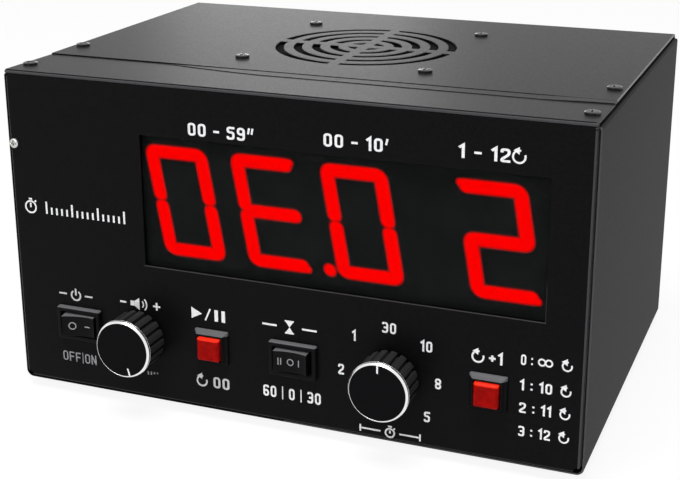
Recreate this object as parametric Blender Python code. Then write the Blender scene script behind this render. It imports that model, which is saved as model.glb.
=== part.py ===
"""Interval gym timer: a folded steel case with four lit digits, a top grille and a row of controls.

Case coordinates: X runs to the right from the middle of the case, Y runs back from the front face,
and Z runs up from the underside of the case. The empty called case_frame puts them over the floor.
"""

import math

import bmesh
import bpy
from mathutils import Matrix, Vector

MM = 0.001

# Case
CASE_WIDTH = 250 * MM
CASE_DEPTH = 176.5 * MM
CASE_HEIGHT = 139.5 * MM
SHEET = 1.2 * MM
GAP = 0.3 * MM
LAP = SHEET + GAP
BEND = 2.0 * MM
TIGHT_BEND = 2.2 * MM
LOW_BEND = 3.2 * MM
BEND_STEPS = 3
FLANGE_WIDTH = 15 * MM
RETURN_DEPTH = 11 * MM
STRIP_DEPTH = 35.0 * MM
SEAM = 0.4 * MM
LIP_HEIGHT = 14 * MM
RELIEF = 1.2 * MM

# Feet and fasteners
FOOT_HEIGHT = 4 * MM
FOOT_RADIUS = 7 * MM
FOOT_INSET = (26 * MM, 24 * MM)
M3_RADIUS = 1.4 * MM
M3_HOLE = 1.75 * MM
M3_HEAD = (2.8 * MM, 1.8 * MM)
COVER_SCREW_X = 118.9 * MM
STRIP_SCREW_Y = 12.2 * MM
COVER_SCREW_Y = 53.7 * MM
LIP_SCREWS_X = (-90 * MM, 0.0, 90 * MM)
LIP_SCREW_DROP = 8 * MM
BOTTOM_SCREW_X = 80 * MM
BOTTOM_SCREW_INSET = 6.5 * MM
EDGE_SCREW = (-121.0 * MM, 108.2 * MM)
EDGE_SCREW_HEAD = (2.0 * MM, 1.3 * MM)
EDGE_SCREW_SHANK = 0.7 * MM
EDGE_SCREW_LENGTH = 4.5 * MM
EDGE_SCREW_HOLE = 1.0 * MM
COVER_SCREW_LENGTH = 7 * MM

# Window and digits
WINDOW = (-61.4 * MM, 107.8 * MM, 61.3 * MM, 117.4 * MM)
WINDOW_CORNER = 0.8 * MM
FILTER_LAP = 2.2 * MM
FILTER_THICKNESS = 2.0 * MM
DIGIT_X = (-43.4 * MM, -5.2 * MM, 33.2 * MM, 88.1 * MM)
DIGIT_Z = 89.7 * MM
MODULE = (37.7 * MM, 56.0 * MM, 12.0 * MM)
DIGIT_HALF = (13.4 * MM, 22.3 * MM)
STROKE = 6.0 * MM
DIGIT_LEAN = math.tan(math.radians(-8.9))
CORNER_CUT = 3.0 * MM
DOT = (-15.2 * MM, -18.6 * MM, 2.6 * MM)
SEGMENT_SLAB = 1.2 * MM
FRAME_WALL = 6.5 * MM
SCREW_BORE = 1.1 * MM
SCREW_BORE_DEPTH = 6.0 * MM

# Speaker under the grille
SPEAKER = (-0.2 * MM, 97.6 * MM)
SPEAKER_SCREWS = 41.2 * MM
GRILLE_RADII = (40.4 * MM, 32.3 * MM, 24.2 * MM, 16.1 * MM, 8.0 * MM)
SLOT_WIDTH = 3.8 * MM
SPOKE_WIDTH = 4.6 * MM
CLOTH_RADIUS = 42.5 * MM
CLOTH_THICKNESS = 0.4 * MM
SPEAKER_STEPS = 28
SPEAKER_FLANGE = (47.5 * MM, 1.5 * MM)
SPEAKER_OPENING = 39 * MM
FLANGE_SQUARENESS = 0.2
BASKET_RADII = (44 * MM, 30 * MM, 11 * MM)
BASKET_DEPTH = 22 * MM
CONE_NECK = (12 * MM, 5 * MM)
PAPER_THICKNESS = 0.7 * MM
MAGNET = (30 * MM, 14 * MM)
MAGNET_STEP = 3 * MM
SPEAKER_SCREW_REACH = 4.5 * MM

# Controls, all on one line across the front
CONTROL_Z = 29.6 * MM
POWER_X = -94.2 * MM
VOLUME_X = -64.4 * MM
PAUSE_X = -31.2 * MM
REST_X = 5.5 * MM
SELECTOR_X = 47.6 * MM
ROUNDS_X = 87.0 * MM
BEZEL = (20.9 * MM, 14.9 * MM)
SWITCH_BODY = (18.8 * MM, 12.7 * MM, 13.5 * MM)
SWITCH_HOLE = (9.7 * MM, 6.7 * MM)
SWITCH_WELL = (16.8 * MM, 10.4 * MM, 9.0 * MM)
ROCKER_HALF = (7.2 * MM, 4.7 * MM)
ROCKER_FRONT = -4.3 * MM
ROCKER_PIN = (1.1 * MM, 6.0 * MM)
ROCKER_TILT = math.radians(9)
ROCKER_PIVOT_Y = 2.5 * MM
BUTTON_FLANGE = 15.0 * MM
BUTTON_BODY = 11.8 * MM
CAP_SIDE = 10.0 * MM
CAP_FRONT = -5.0 * MM
CAP_BEVEL = 0.8 * MM
SPRING = (2.6 * MM, 2.2 * MM, 7.3 * MM)
SPRING_TURNS = 4
SPRING_WIRE = 0.3 * MM
KNOB_FRONT = 17.0 * MM
KNOB_BACK = 2.5 * MM
KNOB_RADIUS = 12.1 * MM
RING_RADIUS = 12.5 * MM
RING_WALL = 0.9 * MM
RING_BEVEL = 0.4 * MM
KNOB_SHOULDER = 14.0 * MM
FLUTES = 18
FLUTE_DEPTH = 0.7 * MM
SHAFT_RADIUS = 3.0 * MM
VOLUME_BUSH = 4.0 * MM
SELECTOR_BUSH = 4.5 * MM

# Back
JACK = (-85 * MM, 28 * MM)
JACK_REACH = 3.0 * MM
JACK_BUSH = 4.0 * MM

# Main board
BOARD = (-60 * MM, 60 * MM, 62 * MM, 150 * MM)
BOARD_THICKNESS = 1.6 * MM
BOARD_LIFT = 9.8 * MM
BOARD_HOLE_INSET = 6 * MM
CHIP = (-26 * MM, 26 * MM, 92 * MM, 106 * MM)
CHIP_HEIGHT = 4.2 * MM
CAPACITOR = (-44 * MM, 128 * MM)
CAPACITOR_SIZE = (8 * MM, 20 * MM)
RIBBON_X = -18 * MM
RIBBON_HALF = (9 * MM, 0.4 * MM)
BOSS_FLATS = 6.5 * MM
TRAY_THICKNESS = 1.5 * MM

FRONT_Y = (KNOB_FRONT - CASE_DEPTH - JACK_REACH) / 2
INNER_WIDTH = CASE_WIDTH - 2 * LAP
BACK_FACE = CASE_DEPTH - LAP
SMOOTH_ANGLE = math.radians(35)
FILTER_BACK = LAP + FILTER_THICKNESS
MODULE_FRONT = FILTER_BACK + GAP
MODULE_BACK = MODULE_FRONT + MODULE[2]
DISPLAY_BOARD_FRONT = MODULE_BACK + 2 * GAP + SEGMENT_SLAB
FRAME_GAP = FILTER_LAP + 2 * GAP
FRAME_OPENING = (
    WINDOW[0] - FRAME_GAP,
    WINDOW[1] + FRAME_GAP,
    WINDOW[2] - FRAME_GAP,
    WINDOW[3] + FRAME_GAP,
)
DISPLAY_BOARD_BACK = DISPLAY_BOARD_FRONT + BOARD_THICKNESS
COVER_UNDERSIDE = CASE_HEIGHT - SHEET
BOARD_SEAT = BOARD_LIFT + BOARD_THICKNESS + GAP


def finish(name, colour, roughness, metallic=0.0):
    """A plain material of one colour."""
    material = bpy.data.materials.new(name)
    material.use_nodes = True
    shader = material.node_tree.nodes["Principled BSDF"]
    shader.inputs["Base Color"].default_value = (*colour, 1.0)
    shader.inputs["Roughness"].default_value = roughness
    shader.inputs["Metallic"].default_value = metallic
    return material


def add_empty(name, location, parent=None):
    """A frame that pieces are parented to."""
    frame = bpy.data.objects.new(name, None)
    frame.location = location
    frame.parent = parent
    bpy.context.scene.collection.objects.link(frame)
    return frame


def new_mesh(name, shape, material):
    """Turns a bmesh into a mesh with its faces pointing outwards."""
    bmesh.ops.recalc_face_normals(shape, faces=shape.faces)
    mesh = bpy.data.meshes.new(name)
    shape.to_mesh(mesh)
    shape.free()
    mesh.shade_smooth()
    mesh.set_sharp_from_angle(angle=SMOOTH_ANGLE)
    mesh.materials.append(material)
    return mesh


def add_object(name, data, parent, location=(0, 0, 0), rotation=(0, 0, 0)):
    """Puts a mesh or a curve in the scene under a frame."""
    piece = bpy.data.objects.new(name, data)
    piece.parent = parent
    piece.location = location
    piece.rotation_euler = rotation
    bpy.context.scene.collection.objects.link(piece)
    return piece


def add_piece(name, shape, material, parent):
    """A piece whose mesh already has its place in the parent's frame."""
    return add_object(name, new_mesh(name, shape, material), parent)


def add_wire(name, route, radius, material, parent):
    """A round wire along a list of points."""
    curve = bpy.data.curves.new(name, "CURVE")
    curve.dimensions = "3D"
    curve.bevel_depth = radius
    curve.bevel_resolution = 0
    curve.use_fill_caps = True
    spline = curve.splines.new("POLY")
    spline.points.add(len(route) - 1)
    for point, spot in zip(spline.points, route):
        point.co = (*spot, 1.0)
    curve.materials.append(material)
    return add_object(name, curve, parent)


def combine(piece, tool_shape, operation):
    """Adds a shape to a piece or takes it away, with a Boolean."""
    tool = add_piece(f"{piece.name}_{operation.lower()}", tool_shape, piece.data.materials[0], piece.parent)
    tool.hide_render = True
    tool.display_type = "WIRE"
    boolean = piece.modifiers.new(operation.lower(), "BOOLEAN")
    boolean.operation = operation
    boolean.object = tool


def cut(piece, cutter_shape):
    combine(piece, cutter_shape, "DIFFERENCE")


def place(outline, axis, height):
    """Puts a flat outline at a height along X, Y or Z."""
    if axis == "X":
        return [Vector((height, a, b)) for a, b in outline]
    if axis == "Y":
        return [Vector((a, height, b)) for a, b in outline]
    return [Vector((a, b, height)) for a, b in outline]


def circle(radius, steps=24, centre=(0.0, 0.0)):
    """Points of a circle, anticlockwise from the right."""
    angles = [math.tau * step / steps for step in range(steps)]
    return [(centre[0] + radius * math.cos(a), centre[1] + radius * math.sin(a)) for a in angles]


def hexagon(flats, centre=(0.0, 0.0)):
    """A hexagon given by the distance across its flats."""
    return circle(flats / 2 / math.cos(math.pi / 6), 6, centre)


def rectangle(left, right, bottom, top):
    return [(left, bottom), (right, bottom), (right, top), (left, top)]


def rounded_rectangle(width, height, radius, centre=(0.0, 0.0), steps=2):
    """A rectangle with round corners, anticlockwise from its right side."""
    points = []
    for corner, (side_x, side_z) in enumerate(((1, 1), (-1, 1), (-1, -1), (1, -1))):
        middle_x = centre[0] + side_x * (width / 2 - radius)
        middle_z = centre[1] + side_z * (height / 2 - radius)
        for step in range(steps + 1):
            angle = math.pi / 2 * (corner + step / steps)
            points.append((middle_x + radius * math.cos(angle), middle_z + radius * math.sin(angle)))
    return points


def ring(radius, steps, axis, height, centre=(0.0, 0.0)):
    """A circle put at a height along an axis."""
    return place(circle(radius, steps, centre), axis, height)


def inset(outline, distance):
    """Moves every side of a convex anticlockwise outline inwards."""
    count = len(outline)
    lines = []
    for index in range(count):
        start, end = Vector(outline[index]), Vector(outline[(index + 1) % count])
        along = (end - start).normalized()
        lines.append((start + Vector((-along.y, along.x)) * distance, along))
    points = []
    for index in range(count):
        (base, along), (next_base, next_along) = lines[index - 1], lines[index]
        crossing = along.x * next_along.y - along.y * next_along.x
        offset = next_base - base
        reach = (offset.x * next_along.y - offset.y * next_along.x) / crossing
        points.append(tuple(base + along * reach))
    return points


def add_loft(shape, rings, loop=False):
    """Skins rings of equally many points. The end rings are filled, unless the last joins the first."""
    rows = [[shape.verts.new(point) for point in ring] for ring in rings]
    pairs = list(zip(rows, rows[1:]))
    if loop:
        pairs.append((rows[-1], rows[0]))
    else:
        shape.faces.new(rows[0])
        shape.faces.new(rows[-1])
    for row, next_row in pairs:
        for index in range(len(row)):
            shape.faces.new((row[index - 1], row[index], next_row[index], next_row[index - 1]))


def add_prism(shape, outline, axis, low, high):
    add_loft(shape, [place(outline, axis, low), place(outline, axis, high)])


def add_box(shape, low, high):
    add_prism(shape, rectangle(low[0], high[0], low[1], high[1]), "Z", low[2], high[2])


def add_turned(shape, profile, axis, centre=(0.0, 0.0), steps=24, loop=False):
    """Turns a profile of (radius, height) about an axis."""
    add_loft(shape, [ring(radius, steps, axis, height, centre) for radius, height in profile], loop)


def add_face(shape, outline, holes=()):
    """A flat face with holes, from loops of points in space. Returns the loops' vertices."""
    loops = [[shape.verts.new(point) for point in loop] for loop in (outline, *holes)]
    edges = []
    for loop in loops:
        edges += [shape.edges.new((loop[index - 1], loop[index])) for index in range(len(loop))]
    bmesh.ops.triangle_fill(shape, use_beauty=True, edges=edges)
    return loops


def add_plate(shape, outline, holes, axis, low, high):
    """A flat plate with holes right through it."""
    lower = add_face(shape, place(outline, axis, low), [place(hole, axis, low) for hole in holes])
    upper = add_face(shape, place(outline, axis, high), [place(hole, axis, high) for hole in holes])
    for row, next_row in zip(lower, upper):
        for index in range(len(row)):
            shape.faces.new((row[index - 1], row[index], next_row[index], next_row[index - 1]))


def add_stepped_block(shape, outline, steps, axis, back, face, floor):
    """A block with pockets sunk into its face, or bosses on it where the floor is beyond the face."""
    loops = add_face(shape, place(outline, axis, face), [place(step, axis, face) for step in steps])
    ends = [place(outline, axis, back)] + [place(step, axis, floor) for step in steps]
    for row, points in zip(loops, ends):
        end = [shape.verts.new(point) for point in points]
        shape.faces.new(end)
        for index in range(len(row)):
            shape.faces.new((row[index - 1], row[index], end[index], end[index - 1]))


def screw_mesh(name, length, material, head=M3_HEAD, shank=M3_RADIUS):
    """A pan-head screw standing on its tip, with the underside of its head at the origin."""
    radius, height = head
    profile = [
        (shank * 0.75, -length),
        (shank, -length + 0.4 * MM),
        (shank, 0),
        (radius, 0),
        (radius, height * 0.55),
        (radius * 0.72, height),
    ]
    shape = bmesh.new()
    add_turned(shape, profile, "Z", steps=10)
    return new_mesh(name, shape, material)


class Sheet:
    """A folded sheet of steel, drawn as its outer skin and given its thickness inwards."""

    def __init__(self):
        self.shape = bmesh.new()

    def flat(self, outline, holes=()):
        add_face(self.shape, outline, holes)

    def bend(self, edge, pivot, angle, steps=BEND_STEPS):
        """Carries an edge round a line parallel to it, and returns the edge where the bend ends."""
        start, end = Vector(edge[0]), Vector(edge[1])
        along = (end - start).normalized()
        for _ in range(steps):
            turn = Matrix.Rotation(angle / steps, 3, along)
            moved = [turn @ (point - Vector(pivot)) + Vector(pivot) for point in (start, end)]
            self.flat([start, end, moved[1], moved[0]])
            start, end = moved
        return start, end

    def finish(self, name, outward, material, parent):
        """Joins the patches, turns the skin so that its largest face looks outward, and thickens it."""
        bmesh.ops.remove_doubles(self.shape, verts=self.shape.verts, dist=0.001 * MM)
        piece = add_piece(name, self.shape, material, parent)
        largest = max(piece.data.polygons, key=lambda face: face.area)
        if largest.normal.dot(Vector(outward)) < 0:
            piece.data.flip_normals()
        solidify = piece.modifiers.new("thickness", "SOLIDIFY")
        solidify.thickness = SHEET
        solidify.offset = -1
        solidify.use_even_offset = True
        return piece


def base_shell(frame, steel):
    """The bottom and both sides in one folded piece, with flanges that the top rests on."""
    front, back = LAP, BACK_FACE
    top = CASE_HEIGHT - LAP
    side = CASE_WIDTH / 2
    sheet = Sheet()
    low_flat, high_flat = side - LOW_BEND, side - BEND
    holes = [circle(M3_HOLE, 8, (x, y)) for x, y in foot_places() + bottom_screw_places()]
    bottom = place(rectangle(-low_flat, low_flat, front, back), "Z", 0)
    sheet.flat(bottom, [place(hole, "Z", 0) for hole in holes])
    for hand in (-1, 1):
        edge = (hand * low_flat, front, 0), (hand * low_flat, back, 0)
        low = sheet.bend(edge, (hand * low_flat, 0, LOW_BEND), -hand * math.pi / 2)
        high = [Vector((hand * side, point.y, top - BEND)) for point in low]
        sheet.flat([low[0], low[1], high[1], high[0]])
        crown = sheet.bend(high, (hand * high_flat, 0, top - BEND), -hand * math.pi / 2)
        inner = [Vector((hand * (side - FLANGE_WIDTH), point.y, top)) for point in crown]
        screws = [(hand * COVER_SCREW_X, STRIP_SCREW_Y), (hand * COVER_SCREW_X, COVER_SCREW_Y)]
        holes = [place(circle(M3_HOLE, 8, screw), "Z", top) for screw in screws]
        sheet.flat([crown[0], crown[1], inner[1], inner[0]], holes)
    sheet.finish("base_shell", (0, 0, -1), steel, frame)


def foot_places():
    x = CASE_WIDTH / 2 - FOOT_INSET[0]
    return [(hand * x, y) for hand in (-1, 1) for y in (FOOT_INSET[1], CASE_DEPTH - FOOT_INSET[1])]


def bottom_screw_places():
    ends = (BOTTOM_SCREW_INSET, BACK_FACE - BOTTOM_SCREW_INSET)
    return [(hand * BOTTOM_SCREW_X, y) for hand in (-1, 1) for y in ends]


def add_returns(sheet, face_y, inward, bottom, top):
    """The side and bottom returns that a panel is held by, folded back from its flat face."""
    side = INNER_WIDTH / 2
    flat = side - TIGHT_BEND
    far = face_y + inward * RETURN_DEPTH
    for hand in (-1, 1):
        edge = (hand * flat, face_y, bottom + RELIEF), (hand * flat, face_y, top - RELIEF)
        end = sheet.bend(edge, (hand * flat, face_y + inward * TIGHT_BEND, 0), hand * inward * math.pi / 2)
        sheet.flat([end[0], end[1], (end[1].x, far, end[1].z), (end[0].x, far, end[0].z)])
    width = flat - 2 * RELIEF
    edge = (-width, face_y, bottom), (width, face_y, bottom)
    end = sheet.bend(edge, (0, face_y + inward * TIGHT_BEND, bottom), inward * math.pi / 2)
    height = end[0].z
    holes = [(x, y) for x, y in bottom_screw_places() if abs(y - face_y) < RETURN_DEPTH]
    outline = [end[0], end[1], (width, far, height), (-width, far, height)]
    sheet.flat(outline, [place(circle(M3_HOLE, 8, hole), "Z", height) for hole in holes])


def panel_outline(flat, bottom, top, crown):
    """The flat of a panel's face, with a point wherever a bend starts. The crown is its top right end."""
    right = [(flat - 2 * RELIEF, bottom), (flat, bottom + RELIEF), (flat, top - RELIEF), *crown]
    return right + [(-x, z) for x, z in reversed(right)]


def front_panel(frame, steel):
    """The front face, folded back at the top into the strip in front of the seam."""
    flat = INNER_WIDTH / 2 - TIGHT_BEND
    bottom, top = LAP + TIGHT_BEND, CASE_HEIGHT - BEND
    strip_half = INNER_WIDTH / 2
    sheet = Sheet()
    left, right, low, high = WINDOW
    middle = (left + right) / 2, (low + high) / 2
    holes = [rounded_rectangle(right - left, high - low, WINDOW_CORNER, middle)]
    button_half = BUTTON_BODY / 2 + GAP
    openings = [(POWER_X, *SWITCH_HOLE), (REST_X, *SWITCH_HOLE)]
    openings += [(PAUSE_X, button_half, button_half), (ROUNDS_X, button_half, button_half)]
    for x, wide, tall in openings:
        holes.append(rectangle(x - wide, x + wide, CONTROL_Z - tall, CONTROL_Z + tall))
    holes.append(circle(VOLUME_BUSH + GAP, 20, (VOLUME_X, CONTROL_Z)))
    holes.append(circle(SELECTOR_BUSH + GAP, 20, (SELECTOR_X, CONTROL_Z)))
    outline = panel_outline(flat, bottom, top, [(strip_half, top - RELIEF / 2), (strip_half, top)])
    sheet.flat(place(outline, "Y", 0), [place(hole, "Y", 0) for hole in holes])
    add_returns(sheet, 0, 1, bottom, top)
    crown = sheet.bend(((-strip_half, 0, top), (strip_half, 0, top)), (0, BEND, top), -math.pi / 2)
    strip = [crown[0].xy, crown[1].xy, (strip_half, STRIP_DEPTH), (-strip_half, STRIP_DEPTH)]
    screws = [circle(M3_HOLE, 8, (hand * COVER_SCREW_X, STRIP_SCREW_Y)) for hand in (-1, 1)]
    sheet.flat(place(strip, "Z", CASE_HEIGHT), [place(screw, "Z", CASE_HEIGHT) for screw in screws])
    panel = sheet.finish("front_panel", (0, -1, 0), steel, frame)
    drill = bmesh.new()
    add_turned(drill, [(EDGE_SCREW_HOLE, -SHEET), (EDGE_SCREW_HOLE, 4 * SHEET)], "Y", EDGE_SCREW, steps=12)
    cut(panel, drill)


def back_panel(frame, steel):
    """The back face, with returns on all four sides and the hole for the power jack."""
    flat = INNER_WIDTH / 2 - TIGHT_BEND
    bottom, top = LAP + TIGHT_BEND, CASE_HEIGHT - 2 * LAP - TIGHT_BEND
    width = flat - 2 * RELIEF
    sheet = Sheet()
    holes = [circle(JACK_BUSH + GAP, 16, JACK)]
    holes += [circle(M3_HOLE, 8, (x, CASE_HEIGHT - LIP_SCREW_DROP)) for x in LIP_SCREWS_X]
    outline = panel_outline(flat, bottom, top, [(width, top)])
    sheet.flat(place(outline, "Y", BACK_FACE), [place(hole, "Y", BACK_FACE) for hole in holes])
    add_returns(sheet, BACK_FACE, -1, bottom, top)
    edge = (-width, BACK_FACE, top), (width, BACK_FACE, top)
    end = sheet.bend(edge, (0, BACK_FACE - TIGHT_BEND, top), math.pi / 2)
    far = BACK_FACE - RETURN_DEPTH
    sheet.flat([end[0], end[1], (width, far, end[1].z), (-width, far, end[0].z)])
    sheet.finish("back_panel", (0, 1, 0), steel, frame)


def grille_slot(outer, inner, quarter):
    """One slot of the grille: a quarter of a ring between two spokes with parallel sides."""
    points = []
    for radius, forwards in ((outer, True), (inner, False)):
        spare = math.asin(SPOKE_WIDTH / 2 / radius)
        start, end = quarter * math.pi / 2 + spare, (quarter + 1) * math.pi / 2 - spare
        steps = 2 + round(outer / (6.5 * MM))
        angles = [start + (end - start) * step / steps for step in range(steps + 1)]
        for angle in angles if forwards else reversed(angles):
            points.append((SPEAKER[0] + radius * math.cos(angle), SPEAKER[1] + radius * math.sin(angle)))
    return points


def speaker_screw_places():
    reach = SPEAKER_SCREWS
    return [(SPEAKER[0] + x, SPEAKER[1] + y) for x in (-reach, reach) for y in (-reach, reach)]


def top_cover(frame, steel):
    """The lid behind the seam, with the speaker grille, folded down over the back."""
    side = INNER_WIDTH / 2
    front = STRIP_DEPTH + SEAM
    back = CASE_DEPTH - BEND
    sheet = Sheet()
    holes = []
    for radius in GRILLE_RADII:
        holes += [grille_slot(radius, radius - SLOT_WIDTH, quarter) for quarter in range(4)]
    screws = [(hand * COVER_SCREW_X, COVER_SCREW_Y) for hand in (-1, 1)] + speaker_screw_places()
    holes += [circle(M3_HOLE, 8, screw) for screw in screws]
    plate = rectangle(-side, side, front, back)
    sheet.flat(place(plate, "Z", CASE_HEIGHT), [place(hole, "Z", CASE_HEIGHT) for hole in holes])
    edge = (-side, back, CASE_HEIGHT), (side, back, CASE_HEIGHT)
    end = sheet.bend(edge, (0, back, CASE_HEIGHT - BEND), -math.pi / 2)
    foot = CASE_HEIGHT - LIP_HEIGHT
    lip = [(end[0].x, end[0].z), (end[1].x, end[1].z), (side, foot), (-side, foot)]
    drops = [circle(M3_HOLE, 8, (x, CASE_HEIGHT - LIP_SCREW_DROP)) for x in LIP_SCREWS_X]
    sheet.flat(place(lip, "Y", CASE_DEPTH), [place(drop, "Y", CASE_DEPTH) for drop in drops])
    sheet.finish("top_cover", (0, 0, 1), steel, frame)


def case_fasteners(frame, black_screw, bright_screw):
    """The four screws on top, and the small one at the front's left edge."""
    mesh = screw_mesh("cover_screw", COVER_SCREW_LENGTH, black_screw)
    for piece, y in (("strip", STRIP_SCREW_Y), ("cover", COVER_SCREW_Y)):
        for side, hand in (("left", -1), ("right", 1)):
            spot = (hand * COVER_SCREW_X, y, CASE_HEIGHT + GAP)
            add_object(f"{piece}_screw_{side}", mesh, frame, spot)
    mesh = screw_mesh("edge_screw", EDGE_SCREW_LENGTH, bright_screw, EDGE_SCREW_HEAD, EDGE_SCREW_SHANK)
    spot = (EDGE_SCREW[0], -GAP, EDGE_SCREW[1])
    add_object("front_edge_screw", mesh, frame, spot, (math.pi / 2, 0, 0))


def feet(frame, rubber):
    """Four rubber feet, each with a recess for its screw."""
    recess = 2.1 * MM
    profile = [
        (M3_HOLE, -GAP),
        (FOOT_RADIUS, -GAP),
        (FOOT_RADIUS - 0.8 * MM, -FOOT_HEIGHT),
        (3.4 * MM, -FOOT_HEIGHT),
        (3.4 * MM, -FOOT_HEIGHT + recess),
        (M3_HOLE, -FOOT_HEIGHT + recess),
    ]
    shape = bmesh.new()
    add_turned(shape, profile, "Z", steps=12, loop=True)
    mesh = new_mesh("rubber_foot", shape, rubber)
    for x, y in foot_places():
        side = "left" if x < 0 else "right"
        end = "front" if y < CASE_DEPTH / 2 else "rear"
        add_object(f"foot_{end}_{side}", mesh, frame, (x, y, 0))


def upside_down(outline):
    return [(x, -z) for x, z in reversed(outline)]


def segment_outlines():
    """Outlines of a digit's seven bars and its dot, before they lean."""
    half_x, half_z = DIGIT_HALF
    in_x, in_z = half_x - STROKE, half_z - STROKE
    tip = CORNER_CUT / 2
    middle = half_x - STROKE / 2
    top = [(in_x, in_z), (half_x - tip, half_z - tip), (half_x - CORNER_CUT, half_z),
           (CORNER_CUT - half_x, half_z), (tip - half_x, half_z - tip), (-in_x, in_z)]
    upper = [(in_x, in_z), (in_x, STROKE / 2), (middle, 0), (half_x, STROKE / 2),
             (half_x, half_z - CORNER_CUT), (half_x - tip, half_z - tip)]
    bar = [(-middle, 0), (-in_x, -STROKE / 2), (in_x, -STROKE / 2), (middle, 0),
           (in_x, STROKE / 2), (-in_x, STROKE / 2)]
    across = [(-x, z) for x, z in reversed(upper)]
    dot = circle(DOT[2], 8, (DOT[0] - DOT[1] * DIGIT_LEAN, DOT[1]))
    return [top, upside_down(top), upper, upside_down(upper), across, upside_down(across), bar, dot]


def leaned(outline):
    """Slants an outline by the digits' lean."""
    return [(x + z * DIGIT_LEAN, z) for x, z in outline]


def display(frame, filter_plastic, housing, segment_epoxy):
    """The tinted window, the frame that holds it, and four digit modules with their cast segments."""
    shape = bmesh.new()
    add_box(shape, (WINDOW[0] - FILTER_LAP, LAP, WINDOW[2] - FILTER_LAP),
            (WINDOW[1] + FILTER_LAP, FILTER_BACK, WINDOW[3] + FILTER_LAP))
    add_piece("window_filter", shape, filter_plastic, frame)

    left, right, low, high = FRAME_OPENING
    border = rectangle(left - FRAME_WALL, right + FRAME_WALL, low - FRAME_WALL, high + FRAME_WALL)
    shape = bmesh.new()
    holes = [circle(SCREW_BORE, 8, spot) for spot in display_screw_places()]
    back = DISPLAY_BOARD_FRONT - GAP
    add_stepped_block(shape, border, holes, "Y", LAP, back, back - SCREW_BORE_DEPTH)
    display_frame = add_piece("display_frame", shape, housing, frame)
    opening = bmesh.new()
    add_prism(opening, rectangle(left, right, low, high), "Y", 0, back + MM)
    cut(display_frame, opening)

    outlines = segment_outlines()
    slots = [leaned(inset(outline, 0.1 * MM)) for outline in outlines]
    bars = [leaned(inset(outline, 0.3 * MM)) for outline in outlines]
    width, height, depth = MODULE
    shape = bmesh.new()
    add_plate(shape, rectangle(-width / 2, width / 2, -height / 2, height / 2), slots, "Y", 0, depth)
    housing_mesh = new_mesh("display_module", shape, housing)
    shape = bmesh.new()
    slab = rectangle(MM - width / 2, width / 2 - MM, MM - height / 2, height / 2 - MM)
    add_stepped_block(shape, slab, bars, "Y", depth + GAP + SEGMENT_SLAB, depth + GAP, 0)
    segments_mesh = new_mesh("digit_segments", shape, segment_epoxy)
    for number, digit_x in enumerate(DIGIT_X, 1):
        spot = (digit_x, MODULE_FRONT, DIGIT_Z)
        add_object(f"display_module_{number}", housing_mesh, frame, spot)
        add_object(f"digit_{number}_segments", segments_mesh, frame, spot)


def display_screw_places():
    left, right, low, high = FRAME_OPENING
    half = FRAME_WALL / 2
    return [(x, z) for x in (left - half, right + half) for z in (low + 6 * MM, high - 6 * MM)]


def board_screw_places():
    left, right, front, back = BOARD
    return [(x, y) for x in (left + BOARD_HOLE_INSET, right - BOARD_HOLE_INSET)
            for y in (front + BOARD_HOLE_INSET, back - BOARD_HOLE_INSET)]


def boards(frame, board_green, nylon):
    """The display board on the digit modules, and the main board on its tray of bosses."""
    left, right, low, high = FRAME_OPENING
    outline = rectangle(left - FRAME_WALL, right + FRAME_WALL, low, high)
    shape = bmesh.new()
    holes = [circle(M3_HOLE, 8, spot) for spot in display_screw_places()]
    add_plate(shape, outline, holes, "Y", DISPLAY_BOARD_FRONT, DISPLAY_BOARD_BACK)
    add_piece("display_board", shape, board_green, frame)

    shape = bmesh.new()
    holes = [circle(M3_HOLE, 8, spot) for spot in board_screw_places()]
    add_plate(shape, rectangle(*BOARD), holes, "Z", BOARD_LIFT, BOARD_LIFT + BOARD_THICKNESS)
    add_piece("main_board", shape, board_green, frame)
    shape = bmesh.new()
    bosses = [hexagon(BOSS_FLATS, spot) for spot in board_screw_places()]
    add_stepped_block(shape, rectangle(*BOARD), bosses, "Z", LAP, LAP + TRAY_THICKNESS, BOARD_LIFT - GAP)
    tray = add_piece("main_board_tray", shape, nylon, frame)
    drill = bmesh.new()
    bore = [(SCREW_BORE, BOARD_LIFT - SCREW_BORE_DEPTH), (SCREW_BORE, BOARD_LIFT)]
    for spot in board_screw_places():
        add_turned(drill, bore, "Z", spot, 8)
    cut(tray, drill)


def board_parts(frame, chip_plastic, sleeve):
    """The two largest parts on the main board: the controller chip and the supply's capacitor."""
    left, right, front, back = CHIP
    shape = bmesh.new()
    add_box(shape, (left, front, BOARD_SEAT), (right, back, BOARD_SEAT + CHIP_HEIGHT))
    add_piece("controller_chip", shape, chip_plastic, frame)
    radius, height = CAPACITOR_SIZE
    top, bevel = BOARD_SEAT + height, radius / 10
    profile = [(radius, BOARD_SEAT), (radius, top - bevel), (radius - bevel, top)]
    shape = bmesh.new()
    add_turned(shape, profile, "Z", CAPACITOR, 16)
    add_piece("supply_capacitor", shape, sleeve, frame)


def smooth_route(points, steps):
    """Points along a Catmull-Rom curve through the given ones."""
    places = [Vector(point) for point in points]
    places = [2 * places[0] - places[1], *places, 2 * places[-1] - places[-2]]
    route = []
    for before, start, end, after in zip(places, places[1:], places[2:], places[3:]):
        for step in range(steps):
            t = step / steps
            linear = end - before
            square = 2 * before - 5 * start + 4 * end - after
            cubic = 3 * start - before - 3 * end + after
            route.append(start + (linear * t + square * t**2 + cubic * t**3) / 2)
    return route + [places[-2]]


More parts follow.
